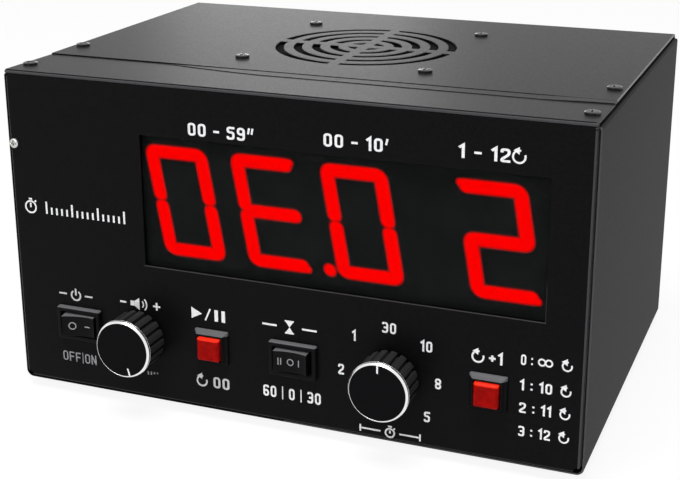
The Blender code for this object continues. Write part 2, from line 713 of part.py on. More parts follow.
def wiring(frame, ribbon_grey):
    """The flat ribbon cable from the display board down to the main board."""
    start = DISPLAY_BOARD_BACK + GAP
    route = smooth_route([
        (RIBBON_X, start, 69 * MM),
        (RIBBON_X, start + 12 * MM, 67 * MM),
        (RIBBON_X, 45 * MM, 48 * MM),
        (RIBBON_X, 61 * MM, 36 * MM),
        (RIBBON_X, 67 * MM, 26 * MM),
        (RIBBON_X, 67 * MM, BOARD_SEAT),
    ], 3)
    width, half = RIBBON_HALF
    shape = bmesh.new()
    rings = []
    for index, point in enumerate(route):
        along = (route[min(index + 1, len(route) - 1)] - route[max(index - 1, 0)]).normalized()
        across = Vector((0, -along.z, along.y)) * half
        sides = ((across, -width), (across, width), (-across, width), (-across, -width))
        rings.append([point + offset + Vector((reach, 0, 0)) for offset, reach in sides])
    add_loft(shape, rings)
    add_piece("display_ribbon", shape, ribbon_grey, frame)


def speaker_basket(flange_top, flange_bottom, floor):
    """The square flange and the round basket under it, as one skin."""
    half = SPEAKER_FLANGE[0]
    square = []
    for step in range(SPEAKER_STEPS):
        cosine, sine = math.cos(math.tau * step / SPEAKER_STEPS), math.sin(math.tau * step / SPEAKER_STEPS)
        x = math.copysign(abs(cosine) ** FLANGE_SQUARENESS, cosine)
        y = math.copysign(abs(sine) ** FLANGE_SQUARENESS, sine)
        square.append((SPEAKER[0] + half * x, SPEAKER[1] + half * y))
    shoulder, seat, bore = BASKET_RADII
    wall = shoulder - SHEET - 0.2 * MM
    profile = [(shoulder, flange_bottom), (seat, floor), (bore, floor), (bore, floor + SHEET),
               (seat - MM, floor + SHEET), (wall, flange_bottom), (SPEAKER_OPENING, flange_bottom),
               (SPEAKER_OPENING, flange_top)]
    rings = [place(square, "Z", flange_top), place(square, "Z", flange_bottom)]
    rings += [ring(radius, SPEAKER_STEPS, "Z", height, SPEAKER) for radius, height in profile]
    shape = bmesh.new()
    add_loft(shape, rings, loop=True)
    return shape


def speaker(frame, cloth, pressed_steel, paper, ferrite, black_screw):
    """A square-flanged speaker hung under the grille by four screws."""
    cloth_top = COVER_UNDERSIDE - GAP
    cloth_bottom = cloth_top - CLOTH_THICKNESS
    flange_top = cloth_bottom - GAP
    flange_bottom = flange_top - SPEAKER_FLANGE[1]
    floor = flange_bottom - BASKET_DEPTH
    disc = [(CLOTH_RADIUS, cloth_bottom), (CLOTH_RADIUS, cloth_top)]
    shape = bmesh.new()
    add_turned(shape, disc, "Z", SPEAKER, SPEAKER_STEPS)
    add_piece("grille_cloth", shape, cloth, frame)

    shape = speaker_basket(flange_top, flange_bottom, floor)
    basket = add_piece("speaker_frame", shape, pressed_steel, frame)
    drill = bmesh.new()
    for spot in speaker_screw_places():
        add_turned(drill, [(M3_HOLE, flange_bottom - MM), (M3_HOLE, flange_top + MM)], "Z", spot, 8)
    cut(basket, drill)

    rim = flange_bottom - GAP
    neck = floor + CONE_NECK[1]
    surround = [(41 * MM, 0), (38 * MM, 0), (36 * MM, 1.2 * MM), (34 * MM, 0), (33 * MM, -0.8 * MM)]
    skin = [(radius, rim + rise) for radius, rise in surround] + [(CONE_NECK[0], neck)]
    under = [(radius, height - PAPER_THICKNESS) for radius, height in reversed(skin)]
    shape = bmesh.new()
    add_turned(shape, skin + under, "Z", SPEAKER, SPEAKER_STEPS, loop=True)
    add_piece("speaker_cone", shape, paper, frame)
    dome = [
        (12.8 * MM, 1.6 * MM),
        (12.8 * MM, 2.0 * MM),
        (10 * MM, 3.6 * MM),
        (6 * MM, 4.8 * MM),
        (2 * MM, 5.3 * MM),
    ]
    shape = bmesh.new()
    add_turned(shape, [(radius, neck + rise) for radius, rise in dome], "Z", SPEAKER, 16)
    add_piece("speaker_dust_cap", shape, paper, frame)

    radius, height = MAGNET
    top, plate = floor - GAP, radius - MAGNET_STEP
    drops = [(plate, 0), (plate, MAGNET_STEP), (radius, MAGNET_STEP), (radius, height - MAGNET_STEP),
             (plate, height - MAGNET_STEP), (plate, height)]
    shape = bmesh.new()
    add_turned(shape, [(reach, top - drop) for reach, drop in drops], "Z", SPEAKER, 16)
    add_piece("speaker_magnet", shape, ferrite, frame)

    length = CASE_HEIGHT - flange_bottom + SPEAKER_SCREW_REACH
    mesh = screw_mesh("speaker_screw", length, black_screw)
    for number, spot in enumerate(speaker_screw_places(), 1):
        add_object(f"speaker_screw_{number}", mesh, frame, (*spot, CASE_HEIGHT + GAP))


def rocker_switch(frame, prefix, switch_x, tilt, body_plastic, rocker_plastic):
    """A snap-in rocker switch whose rocker turns on a pin that stands upright in the housing."""
    switch = add_empty(prefix + "_switch_place", (switch_x, 0, CONTROL_Z), frame)
    wide, tall = BEZEL
    body_wide, body_tall, body_back = SWITCH_BODY
    well_wide, well_tall, well_floor = SWITCH_WELL
    steps = [
        (body_wide, body_tall, body_back),
        (body_wide, body_tall, -GAP),
        (wide, tall, -GAP),
        (wide, tall, -1.5 * MM),
        (wide - MM, tall - MM, -2.3 * MM),
        (well_wide + 2 * GAP, well_tall + 2 * GAP, -2.3 * MM),
        (well_wide, well_tall, -2.3 * MM + 2 * GAP),
        (well_wide, well_tall, well_floor),
    ]
    shape = bmesh.new()
    add_loft(shape, [place(rounded_rectangle(w, h, 0.8 * MM, steps=1), "Y", y) for w, h, y in steps])
    housing = add_piece(prefix + "_switch_housing", shape, body_plastic, switch)
    pin, reach = ROCKER_PIN
    drill = bmesh.new()
    add_turned(drill, [(pin + GAP, -body_tall), (pin + GAP, body_tall)], "Z", (0, ROCKER_PIVOT_Y), 12)
    cut(housing, drill)

    pivot = add_empty(prefix + "_rocker_pivot", (0, ROCKER_PIVOT_Y, 0), switch)
    half, height = ROCKER_HALF
    front = ROCKER_FRONT - ROCKER_PIVOT_Y
    lip = front - GAP
    profile = [
        (-half, front),
        (0.5 * MM - half, lip),
        (0, front + 1.1 * MM),
        (half - 0.5 * MM, lip),
        (half, front),
        (half, 0.5 * MM),
        (3 * MM, 3 * MM),
        (-3 * MM, 3 * MM),
        (-half, 0.5 * MM),
    ]
    shape = bmesh.new()
    add_prism(shape, profile, "Z", -height, height)
    rocker = add_piece(prefix + "_rocker", shape, rocker_plastic, pivot)
    rocker.rotation_euler.z = tilt
    pins = bmesh.new()
    add_turned(pins, [(pin, -reach), (pin, reach)], "Z", steps=12)
    combine(rocker, pins, "UNION")


def push_button(frame, prefix, button_x, body_plastic, cap_plastic, spring_steel):
    """A square push button: a tapered housing, a sprung cap and the spring round the cap's stem."""
    button = add_empty(prefix + "_button_axis", (button_x, 0, CONTROL_Z), frame)
    well = CAP_SIDE + 0.8 * MM
    steps = [(BUTTON_BODY, 11 * MM), (BUTTON_BODY, -GAP), (BUTTON_FLANGE, -GAP), (BUTTON_FLANGE, -0.9 * MM),
             (well + 1.1 * MM, -3.2 * MM), (well, -3.2 * MM), (well, 8 * MM)]
    shape = bmesh.new()
    add_loft(shape, [button_square(side, y) for side, y in steps])
    add_piece(prefix + "_button_housing", shape, body_plastic, button)
    stem = [ring(1.6 * MM, 12, "Y", y) for y in (5 * MM, 1.5 * MM)]
    edge = CAP_FRONT + CAP_BEVEL
    steps = [(CAP_SIDE, 1.5 * MM), (CAP_SIDE, edge), (CAP_SIDE - 1.7 * CAP_BEVEL, CAP_FRONT)]
    shape = bmesh.new()
    add_loft(shape, stem + [button_square(side, y) for side, y in steps])
    add_piece(prefix + "_button_cap", shape, cap_plastic, button)
    radius, low, high = SPRING
    points = 8
    helix = []
    for step in range(SPRING_TURNS * points + 1):
        angle = math.tau * step / points
        height = low + (high - low) * step / (SPRING_TURNS * points)
        helix.append((radius * math.cos(angle), height, radius * math.sin(angle)))
    add_wire(prefix + "_button_spring", helix, SPRING_WIRE, spring_steel, button)


def button_square(side, y):
    return place(rounded_rectangle(side, side, 0.6 * MM), "Y", y)


def fluted_outline(crest, root):
    """Broad flat lands between narrow grooves, three points to a flute."""
    points = []
    for flute in range(FLUTES):
        start = math.tau * flute / FLUTES
        for share, radius in ((0.0, crest), (0.7, crest), (0.85, root)):
            angle = start + share * math.tau / FLUTES
            points.append((radius * math.cos(angle), radius * math.sin(angle)))
    return points


def rotary_control(frame, prefix, axis_x, bush, nut_flats, body_profile, finishes):
    """A panel-mounted rotary control: its body, bush, nut and shaft, and the knob with its bright ring."""
    body_metal, nut_metal, knob_plastic, ring_metal = finishes
    axis = add_empty(prefix + "_axis", (axis_x, 0, CONTROL_Z), frame)
    shape = bmesh.new()
    bore = SHAFT_RADIUS + GAP
    bush_front = -4.6 * MM
    bush_profile = [(bore, 6 * MM), (bore, bush_front), (bush, bush_front), (bush, LAP)]
    add_turned(shape, bush_profile + body_profile, "Y")
    add_piece(prefix + "_body", shape, body_metal, axis)
    shape = bmesh.new()
    add_plate(shape, hexagon(nut_flats), [circle(bush + GAP, 16)], "Y", -2.3 * MM, -GAP)
    add_piece(prefix + "_nut", shape, nut_metal, axis)
    shape = bmesh.new()
    add_turned(shape, [(SHAFT_RADIUS, 5.7 * MM), (SHAFT_RADIUS, -12.7 * MM)], "Y", steps=16)
    add_piece(prefix + "_shaft", shape, nut_metal, axis)
    fluted = fluted_outline(KNOB_RADIUS, KNOB_RADIUS - FLUTE_DEPTH)
    count = len(fluted)
    hub, inner = 8.8 * MM, RING_RADIUS - RING_WALL
    brim = -KNOB_FRONT + RING_BEVEL
    shape = bmesh.new()
    add_loft(shape, [
        *[ring(radius, count, "Y", y) for radius, y in
          ((bore, -13 * MM), (bore, -6.8 * MM), (hub, -6.8 * MM), (hub, -KNOB_BACK))],
        *[place(fluted, "Y", y) for y in (-KNOB_BACK, -KNOB_SHOULDER)],
        *[ring(inner - GAP, count, "Y", y) for y in (-KNOB_SHOULDER, brim)]])
    add_piece(prefix + "_knob", shape, knob_plastic, axis)
    back = -KNOB_SHOULDER - GAP
    profile = [
        (inner, back),
        (RING_RADIUS, back),
        (RING_RADIUS, brim),
        (RING_RADIUS - RING_BEVEL, -KNOB_FRONT),
        (inner, -KNOB_FRONT),
    ]
    shape = bmesh.new()
    add_turned(shape, profile, "Y", steps=32, loop=True)
    add_piece(prefix + "_knob_ring", shape, ring_metal, axis)


def power_jack(frame, jack_plastic, nut_metal):
    """The low-voltage socket in the back panel, held by a nut from outside."""
    end = CASE_DEPTH + JACK_REACH
    inside = BACK_FACE - SHEET - GAP
    shape = bmesh.new()
    profile = [
        (1.05 * MM, end - 1.5 * MM),
        (1.05 * MM, end - 10 * MM),
        (3.0 * MM, end - 10 * MM),
        (3.0 * MM, end),
        (JACK_BUSH, end),
        (JACK_BUSH, inside),
        (5.75 * MM, inside),
        (5.75 * MM, inside - 15 * MM),
    ]
    add_turned(shape, profile, "Y", JACK, steps=16)
    add_piece("power_jack", shape, jack_plastic, frame)
    shape = bmesh.new()
    back = BACK_FACE + GAP
    add_plate(shape, hexagon(11 * MM, JACK), [circle(JACK_BUSH + GAP, 16, JACK)], "Y", back, back + 2.4 * MM)
    add_piece("power_jack_nut", shape, nut_metal, frame)


def build():
    steel = finish("black_powder_coat", (0.012, 0.012, 0.013), 0.55)
    black_screw = finish("black_screw_finish", (0.02, 0.02, 0.02), 0.35, 0.6)
    bright_screw = finish("bright_zinc", (0.6, 0.6, 0.58), 0.35, 1.0)
    rubber = finish("black_rubber", (0.02, 0.02, 0.02), 0.8)
    filter_plastic = finish("smoked_acrylic", (0.03, 0.03, 0.035), 0.1)
    housing = finish("digit_housing", (0.015, 0.017, 0.016), 0.6)
    segment_epoxy = finish("segment_epoxy", (1.0, 0.0, 0.0), 0.4)
    board_green = finish("circuit_board", (0.02, 0.12, 0.05), 0.5)
    chip_plastic = finish("chip_epoxy", (0.02, 0.02, 0.02), 0.5)
    sleeve = finish("capacitor_sleeve", (0.03, 0.05, 0.15), 0.4)
    nylon = finish("white_nylon", (0.75, 0.73, 0.68), 0.5)
    ribbon_grey = finish("ribbon_grey", (0.35, 0.35, 0.36), 0.6)
    cloth = finish("speaker_cloth", (0.01, 0.01, 0.01), 0.95)
    pressed_steel = finish("pressed_steel", (0.45, 0.45, 0.46), 0.4, 1.0)
    paper = finish("cone_paper", (0.02, 0.02, 0.02), 0.9)
    ferrite = finish("ferrite", (0.08, 0.08, 0.08), 0.6)
    switch_plastic = finish("switch_plastic", (0.02, 0.02, 0.021), 0.4)
    red_plastic = finish("red_cap_plastic", (0.6, 0.0, 0.0), 0.25)
    knob_plastic = finish("knob_plastic", (0.012, 0.012, 0.013), 0.25)
    ring_metal = finish("bright_aluminium", (0.85, 0.85, 0.86), 0.25, 1.0)

    case = add_empty("case_frame", (0, FRONT_Y, FOOT_HEIGHT))
    base_shell(case, steel)
    front_panel(case, steel)
    back_panel(case, steel)
    top_cover(case, steel)
    case_fasteners(case, black_screw, bright_screw)
    feet(case, rubber)
    display(case, filter_plastic, housing, segment_epoxy)
    boards(case, board_green, nylon)
    board_parts(case, chip_plastic, sleeve)
    wiring(case, ribbon_grey)
    speaker(case, cloth, pressed_steel, paper, ferrite, black_screw)
    rocker_switch(case, "power", POWER_X, ROCKER_TILT, switch_plastic, switch_plastic)
    rocker_switch(case, "rest_time", REST_X, 0.0, switch_plastic, switch_plastic)
    push_button(case, "pause", PAUSE_X, switch_plastic, red_plastic, bright_screw)
    push_button(case, "rounds", ROUNDS_X, switch_plastic, red_plastic, bright_screw)
    finishes = (pressed_steel, bright_screw, knob_plastic, ring_metal)
    pot_body = [(8.5 * MM, LAP), (8.5 * MM, 10 * MM)]
    switch_body = [(12.5 * MM, LAP), (12.5 * MM, 12 * MM), (6 * MM, 12 * MM), (6 * MM, 14 * MM)]
    rotary_control(case, "volume", VOLUME_X, VOLUME_BUSH, 11 * MM, pot_body, finishes)
    rotary_control(case, "selector", SELECTOR_X, SELECTOR_BUSH, 12 * MM, switch_body, finishes)
    power_jack(case, chip_plastic, bright_screw)


for leftover in list(bpy.data.objects):
    bpy.data.objects.remove(leftover, do_unlink=True)
build()
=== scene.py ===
"""The looks of an interval gym timer: powder-coated steel, lit red digits, knobs, switches and prints."""

import math

import bmesh
import bpy
import numpy as np
from mathutils import Matrix, Vector
from mathutils.geometry import delaunay_2d_cdt


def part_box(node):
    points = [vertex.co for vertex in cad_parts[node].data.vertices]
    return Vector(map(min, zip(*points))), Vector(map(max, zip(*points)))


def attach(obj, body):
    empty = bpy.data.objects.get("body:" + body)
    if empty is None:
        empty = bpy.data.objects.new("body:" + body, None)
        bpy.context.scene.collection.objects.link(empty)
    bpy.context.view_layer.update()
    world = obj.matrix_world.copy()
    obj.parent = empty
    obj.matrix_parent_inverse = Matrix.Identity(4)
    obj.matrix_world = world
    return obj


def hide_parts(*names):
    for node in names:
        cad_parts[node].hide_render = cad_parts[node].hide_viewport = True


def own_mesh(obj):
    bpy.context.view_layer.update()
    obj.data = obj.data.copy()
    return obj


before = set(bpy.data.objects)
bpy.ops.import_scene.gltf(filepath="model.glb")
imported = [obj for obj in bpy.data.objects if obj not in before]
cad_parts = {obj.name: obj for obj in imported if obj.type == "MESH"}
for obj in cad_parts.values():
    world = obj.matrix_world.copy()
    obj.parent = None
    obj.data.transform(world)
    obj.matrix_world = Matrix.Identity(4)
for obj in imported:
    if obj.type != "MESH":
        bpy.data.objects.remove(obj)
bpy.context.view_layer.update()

# Case coordinates are millimetres: X from the middle, Y back from the front face, Z up from the underside.
MM = 0.001
CASE_ORIGIN = np.array((0.0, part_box("front_panel")[0][1] / MM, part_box("base_shell")[0][2] / MM))


def case_box(node):
    """A node's lowest and highest corners in case coordinates."""
    low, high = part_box(node)
    return np.array(low) / MM - CASE_ORIGIN, np.array(high) / MM - CASE_ORIGIN


def case_centre(node):
    return sum(case_box(node)) / 2


# Folded sheets: their thickness, the outside radii of their bends, and the gaps and cuts between them
SHEET = 0.8
LAP = 1.5
BEND = 2.0
LOW_BEND = 3.2
CORNER_BEND = 1.3
CROWN_BEND = 1.0
BEND_STEPS = 8
EDGE_ROUND = 0.22
RELIEF = 0.7
SHADOW_GAP = 0.45
RETURN_DEPTH = 11.0
FLANGE_WIDTH = 15.0
REAR_LIP = 14.0
WIDTH = case_box("base_shell")[1][0] * 2
INNER_WIDTH = WIDTH - 2 * LAP
DEPTH, HEIGHT = case_box("top_cover")[1][1:]
BACK_FACE = DEPTH - LAP
COVER_FRONT = case_box("top_cover")[0][1]

# The strip on top of the front, which starts behind the pressed lip
LIP_DROP = 2.1
STRIP_START = 1.0
STRIP_DEPTH = case_box("front_panel")[1][1]
STRIP_DIP = 0.5
MARGIN_DEPTH = 6.2

# Places on the front, with the window as its left, right, bottom and top
WINDOW = np.array((-61.4, 107.8, 61.3, 117.4))
CONTROL_Z = case_centre("volume_knob")[2]
SWITCH_Z = {"power": CONTROL_Z + 0.7, "rest_time": CONTROL_Z + 0.2}
VOLUME_X = case_centre("volume_knob")[0]
SELECTOR_X = case_centre("selector_knob")[0]
BUTTONS = ("pause", "rounds")

# Half sizes of the panels' square cut-outs, and radii of their round ones
SWITCH_CUT = (9.7, 6.7)
BUTTON_CUT = (6.2, 6.2)
VOLUME_BORE = 4.3
SELECTOR_BORE = 4.8
JACK_BORE = 4.3

# Screws and feet
SCREW_HOLE = 1.75
SEAT = 0.05
COVER_SCREWS = [case_centre(f"{kind}_screw_{side}")[:2]
                for kind in ("strip", "cover") for side in ("left", "right")]
SPEAKER_SCREWS = [case_centre(f"speaker_screw_{number}")[:2] for number in (1, 2, 3, 4)]
FEET = {place: case_centre(f"foot_{place}")[:2]
        for place in ("front_left", "front_right", "rear_left", "rear_right")}
BOTTOM_SCREWS = [(x, y) for x in (-80.0, 80.0) for y in (6.5, BACK_FACE - 6.5)]
LIP_SCREWS = [(x, HEIGHT - 8.0) for x in (-90.0, 0.0, 90.0)]

# Grille: the outer radius of each ring of slots
SPEAKER = case_centre("grille_cloth")[:2]
GRILLE_RADII = (40.4, 32.3, 24.2, 16.1, 8.0)
SLOT_WIDTH = 3.8
SPOKE_WIDTH = 4.6
JACK = case_centre("power_jack")[[0, 2]]


class Tree:
    """Builds a material's nodes."""

    def __init__(self, name):
        self.material = bpy.data.materials.new(name)
        self.material.use_nodes = True
        self.tree = self.material.node_tree
        self.shader = self.tree.nodes["Principled BSDF"]

    def feed(self, socket, value):
        """Links a socket, or sets its value. A plain number on a colour is a grey."""
        value = getattr(value, "socket", value)
        if isinstance(value, bpy.types.NodeSocket):
            self.tree.links.new(value, socket)
        elif socket.type == "RGBA":
            socket.default_value = (*np.broadcast_to(value, 3), 1)
        else:
            socket.default_value = value

    def fill(self, node, inputs):
        """Feeds a node's sockets, by their names in lower case with underscores."""
        for name, value in inputs.items():
            named = (s for s in node.inputs if s.enabled and s.name.lower().replace(" ", "_") == name)
            self.feed(next(named), value)

    def node(self, kind, settings=None, **inputs):
        """Adds a node, sets it up, and gives its sockets values or links."""
        node = self.tree.nodes.new(kind)
        for name, value in (settings or {}).items():
            setattr(node, name, value)
        self.fill(node, inputs)
        return node

    def set(self, **inputs):
        """Sets the main shader's sockets."""
        self.fill(self.shader, inputs)

    def place(self, stretch=(1.0, 1.0, 1.0)):
        """Object coordinates in millimetres, stretched."""
        spot = self.node("ShaderNodeTexCoord").outputs["Object"]
        scale = tuple(share / MM for share in stretch)
        return self.node("ShaderNodeMapping", vector=spot, scale=scale).outputs[0]

    def axes(self):
        """The three case coordinates, in millimetres."""
        split = self.node("ShaderNodeSeparateXYZ", vector=self.place())
        return [Link(self, output) - float(start) for output, start in zip(split.outputs, CASE_ORIGIN)]

    def noise(self, size, detail=2.0, stretch=(1.0, 1.0, 1.0)):
        """Noise whose features are about size millimetres across."""
        node = self.node("ShaderNodeTexNoise", vector=self.place(stretch), scale=1 / size, detail=detail)
        return Link(self, node.outputs[0])

    def bands(self, direction, scale, **inputs):
        """Even waves along an axis."""
        settings = {"bands_direction": direction}
        node = self.node("ShaderNodeTexWave", settings, vector=self.place(), scale=scale, **inputs)
        return Link(self, node.outputs[0])

    def mix(self, factor, first, second):
        """A colour between two others."""
        node = self.node("ShaderNodeMix", {"data_type": "RGBA"})
        for index, value in ((0, factor), (6, first), (7, second)):
            self.feed(node.inputs[index], value)
        return node.outputs[2]

    def bump(self, height, distance, strength=1.0):
        """Relief whose full height is the distance, in millimetres."""
        node = self.node("ShaderNodeBump", height=height, distance=distance * MM, strength=strength)
        self.feed(self.shader.inputs["Normal"], node.outputs[0])


class Link:
    """A number from a shader socket, which takes part in sums."""

    def __init__(self, tree, socket):
        self.tree = tree
        self.socket = socket

    def math(self, operation, first, second):
        node = self.tree.node("ShaderNodeMath", {"operation": operation})
        self.tree.feed(node.inputs[0], first)
        self.tree.feed(node.inputs[1], second)
        return Link(self.tree, node.outputs[0])

    def __add__(self, other):
        return self.math("ADD", self, other)

    def __radd__(self, other):
        return self.math("ADD", other, self)

    def __sub__(self, other):
        return self.math("SUBTRACT", self, other)

    def __rsub__(self, other):
        return self.math("SUBTRACT", other, self)

    def __mul__(self, other):
        return self.math("MULTIPLY", self, other)

    def __rmul__(self, other):
        return self.math("MULTIPLY", other, self)

    def __gt__(self, other):
        return self.math("GREATER_THAN", self, other)

    def __lt__(self, other):
        return self.math("LESS_THAN", self, other)

    def span(self, low, high, to_low=0.0, to_high=1.0):
        """Carries one range of values smoothly onto another."""
        node = self.tree.node("ShaderNodeMapRange", {"interpolation_type": "SMOOTHSTEP"}, value=self,
                              from_min=low, from_max=high, to_min=to_low, to_max=to_high)
        return Link(self.tree, node.outputs[0])


def powder_coat(name, rough, gloss, sheen, edge, highlight_shade):
    """Fine black powder coat: soft grains, flecks with their own gloss, and a painted highlight on marked
    edges.
    """
    t = Tree(name)
    fleck = t.noise(0.9, detail=3.0)
    base = t.mix(fleck.span(0.35, 0.7), (0.0020, 0.0018, 0.0022), (0.0034, 0.0031, 0.0036))
    # Painted highlight: marked edges get a lighter base colour where light would catch them.
    painted_highlight = (highlight_shade, highlight_shade * 0.97, highlight_shade * 1.03)
    t.set(base_color=t.mix(edge(*t.axes()), base, painted_highlight), roughness=fleck.span(0.3, 0.7, *rough),
          specular_ior_level=gloss, sheen_weight=sheen, sheen_roughness=0.35)
    grain = t.node("ShaderNodeTexVoronoi", vector=t.place(), scale=1 / 0.35)
    t.bump(grain.outputs[0], 0.012, 0.35)
    return t.material


def front_highlights(x, y, z):
    """Painted highlights on the front: lighter bands under the lip, down the right edge, and round the
    window's corner.
    """
    left, right, bottom, _ = WINDOW
    lip = (z > HEIGHT - 1.45) * (y < 0.5)
    edge = (x > INNER_WIDTH / 2 - 0.8) * (y < 0.9)
    sill = (z > bottom - 0.32) * (z < bottom + 0.03) * (x > left - 0.3) * (x < right + 0.3) * (y < 0.2)
    post = (x > right - 0.03) * (x < right + 0.2) * (z > bottom - 0.3) * (z < bottom + 14.0) * (y < 0.2)
    return lip + edge + sill * 0.8 + post * 0.5


def right_edge_highlight(x, y, z):
    """A painted highlight along a sheet's right edge."""
    return x > INNER_WIDTH / 2 - 0.25


def cover_highlights(x, y, z):
    """Painted highlights on the cover: on the rims of the grille's slots, and along the right edge."""
    across, along = x - float(SPEAKER[0]), y - float(SPEAKER[1])
    rims = (z < HEIGHT - 0.05) * (z > HEIGHT - 0.25) * (across * across + along * along < 1900.0)
    return rims + right_edge_highlight(x, y, z) * 0.6


def finish(name, dark, light, rough, gloss=0.5, grain=0.5, detail=3.0, relief=0.008, metallic=0.0,
           shades=(0.3, 0.7), stretch=(1.0, 1.0, 1.0), edge=None, highlight_shade=None):
    """Two close shades in a fine noise, which roughness and relief follow, and painted highlights on marked
    edges.
    """
    t = Tree(name)
    skin = t.noise(grain, detail, stretch)
    base = t.mix(skin.span(*shades), dark, light)
    # Painted highlight: marked edges take a lighter base colour.
    if edge:
        base = t.mix(edge(*t.axes()), base, highlight_shade)
    t.set(base_color=base, roughness=skin.span(0.3, 0.7, *rough), specular_ior_level=gloss, metallic=metallic)
    if relief:
        t.bump(skin, relief)
    return t.material


def switch_plastic(name, level):
    """Near-black switch plastic with a painted highlight, a lighter colour, on its edges above a level."""
    return finish(name, (0.003, 0.003, 0.0034), (0.005, 0.005, 0.0055), (0.32, 0.42), 0.05,
                  edge=lambda x, y, z: z > level, highlight_shade=(0.09, 0.09, 0.094))


def clear_window():
    """Thin clear acrylic: nearly all light passes, and a little is reflected."""
    t = Tree("clear_window")
    haze = t.noise(20.0, detail=3.0)
    t.set(base_color=(0.004, 0.005, 0.005), alpha=0.06, roughness=haze.span(0.3, 0.7, 0.06, 0.12),
          specular_ior_level=0.04)
    return t.material


def diffuser_film():
    """Dark film that glows red over lit bars: full light 0.9 mm inside their edges, none 0.9 mm outside."""
    t = Tree("diffuser_film")
    reach = Link(t, t.node("ShaderNodeAttribute", {"attribute_name": "reach"}).outputs[2])
    glow = reach.span(-0.9, 0.9)
    cloud = t.noise(9.0)
    dark = t.mix(cloud.span(0.3, 0.7), (0.0072, 0.0078, 0.0076), (0.0096, 0.0102, 0.0100))
    t.set(base_color=t.mix(glow, dark, (0.002, 0.0, 0.0)), emission_color=t.mix(glow, 0.0, (0.97, 0.0, 0.0)),
          emission_strength=1.12, roughness=0.6, specular_ior_level=0.0)
    return t.material


def lit_segment():
    """Lit red epoxy with a faint cloud in its glow."""
    t = Tree("lit_segment")
    glow = t.mix(t.noise(3.0).span(0.3, 0.7), (0.97, 0.0, 0.0), (1.0, 0.0004, 0.0))
    t.set(base_color=(0.02, 0.0, 0.0), emission_color=glow, emission_strength=1.1, roughness=0.6,
          specular_ior_level=0.0)
    return t.material


def circuit_board():
    """Green solder mask with darker tracks running under it."""
    t = Tree("circuit_board")
    tracks = t.bands("X", 0.35, distortion=6.0, detail_scale=0.4).span(0.45, 0.55)
    t.set(base_color=t.mix(tracks, (0.01, 0.09, 0.035), (0.018, 0.14, 0.06)),
          roughness=t.noise(0.5).span(0.3, 0.7, 0.3, 0.45))
    t.bump(tracks, 0.03)
    return t.material


def speaker_cloth():
    """Black acoustic cloth: a plain weave of threads 0.7 mm apart."""
    t = Tree("speaker_cloth")
    weave = t.bands("X", 0.45) * t.bands("Y", 0.45)
    t.set(base_color=t.mix(weave, 0.002, 0.012), roughness=0.95, specular_ior_level=0.05)
    t.bump(weave, 0.15)
    return t.material


# Paint
# Each coat's marked edges carry a painted highlight, a lighter base colour.
COAT = powder_coat("black_powder_coat", (0.36, 0.42), 0.05, 0.10, right_edge_highlight, 0.16)
FRONT_COAT = powder_coat("black_powder_coat_front", (0.36, 0.42), 0.05, 0.10, front_highlights, 0.05)
COVER_COAT = powder_coat("black_powder_coat_cover", (0.36, 0.42), 0.05, 0.10, cover_highlights, 0.27)
# Painted highlight on the shell's front rim, on the right side only.
SHELL_COAT = powder_coat("black_powder_coat_shell", (0.50, 0.56), 0.054, 0.0,
                         lambda x, y, z: (y < LAP + 0.2) * (x > 0.0), 0.06)
INK = finish("screen_print", (0.60, 0.60, 0.61), (0.76, 0.76, 0.77), (0.5, 0.65), 0.2, relief=0.01)
FAINT_INK = finish("faint_light_ink", (0.40, 0.40, 0.41), (0.50, 0.50, 0.51), (0.5, 0.6), 0.2)
GREY_INK = finish("grey_mark_ink", (0.20, 0.20, 0.21), (0.27, 0.27, 0.28), (0.5, 0.6), 0.2)

# Metal: the tool marks of turned metal run round each part's own axis, along Y
LATHE = dict(grain=0.12, detail=2.0, relief=0.004, metallic=1.0, stretch=(0.02, 1.0, 0.02))
BLACK_SCREW = finish("black_oxide", (0.006, 0.006, 0.007), 0.02, (0.18, 0.28), 0.55, grain=0.8, detail=4.0,
                     relief=0.006, shades=(0.5, 0.75))
ZINC = finish("bright_zinc_plate", (0.52, 0.52, 0.5), (0.66, 0.66, 0.64), (0.28, 0.42), grain=1.2, detail=4.0,
              relief=0.01, metallic=1.0)
STEEL = finish("pressed_steel", (0.38, 0.38, 0.4), (0.5, 0.5, 0.51), (0.35, 0.5), grain=0.8, detail=4.0,
               relief=0.01, metallic=1.0, stretch=(1.0, 0.2, 1.0))
RING_METAL = finish("turned_aluminium", (0.78, 0.78, 0.79), (0.92, 0.92, 0.93), (0.12, 0.22), **LATHE)
SHAFT_METAL = finish("turned_steel", (0.5, 0.5, 0.51), (0.62, 0.62, 0.63), (0.2, 0.35), **LATHE)

# Plastic and the rest
WINDOW_PLASTIC = clear_window()
FILM = diffuser_film()
LIT = lit_segment()
UNLIT = finish("unlit_segment", (0.0062, 0.0070, 0.0066), (0.0080, 0.0090, 0.0085), (0.6, 0.6), 0.04,
               grain=2.0, detail=2.0, relief=0.0)
DIGIT_FACE = finish("digit_face_paint", (0.0058, 0.0066, 0.0062), (0.0078, 0.0088, 0.0083), (0.55, 0.65),
                    0.04, grain=0.6, relief=0.01)
BACKING = finish("black_backing", (0.004, 0.0045, 0.0042), (0.006, 0.0066, 0.0062), (0.6, 0.7), 0.04)
KNOB_PLASTIC = finish("knob_plastic", (0.015, 0.015, 0.0155), (0.022, 0.022, 0.0225), (0.42, 0.55), 0.05)
# Painted shade: the knob's front face is a darker copy of the knob plastic, so it stays dark where less light
# falls.
SHADED_KNOB_FACE = finish("knob_face_plastic", (0.0026, 0.0024, 0.0028), (0.0036, 0.0034, 0.004), (0.4, 0.5), 0.03)
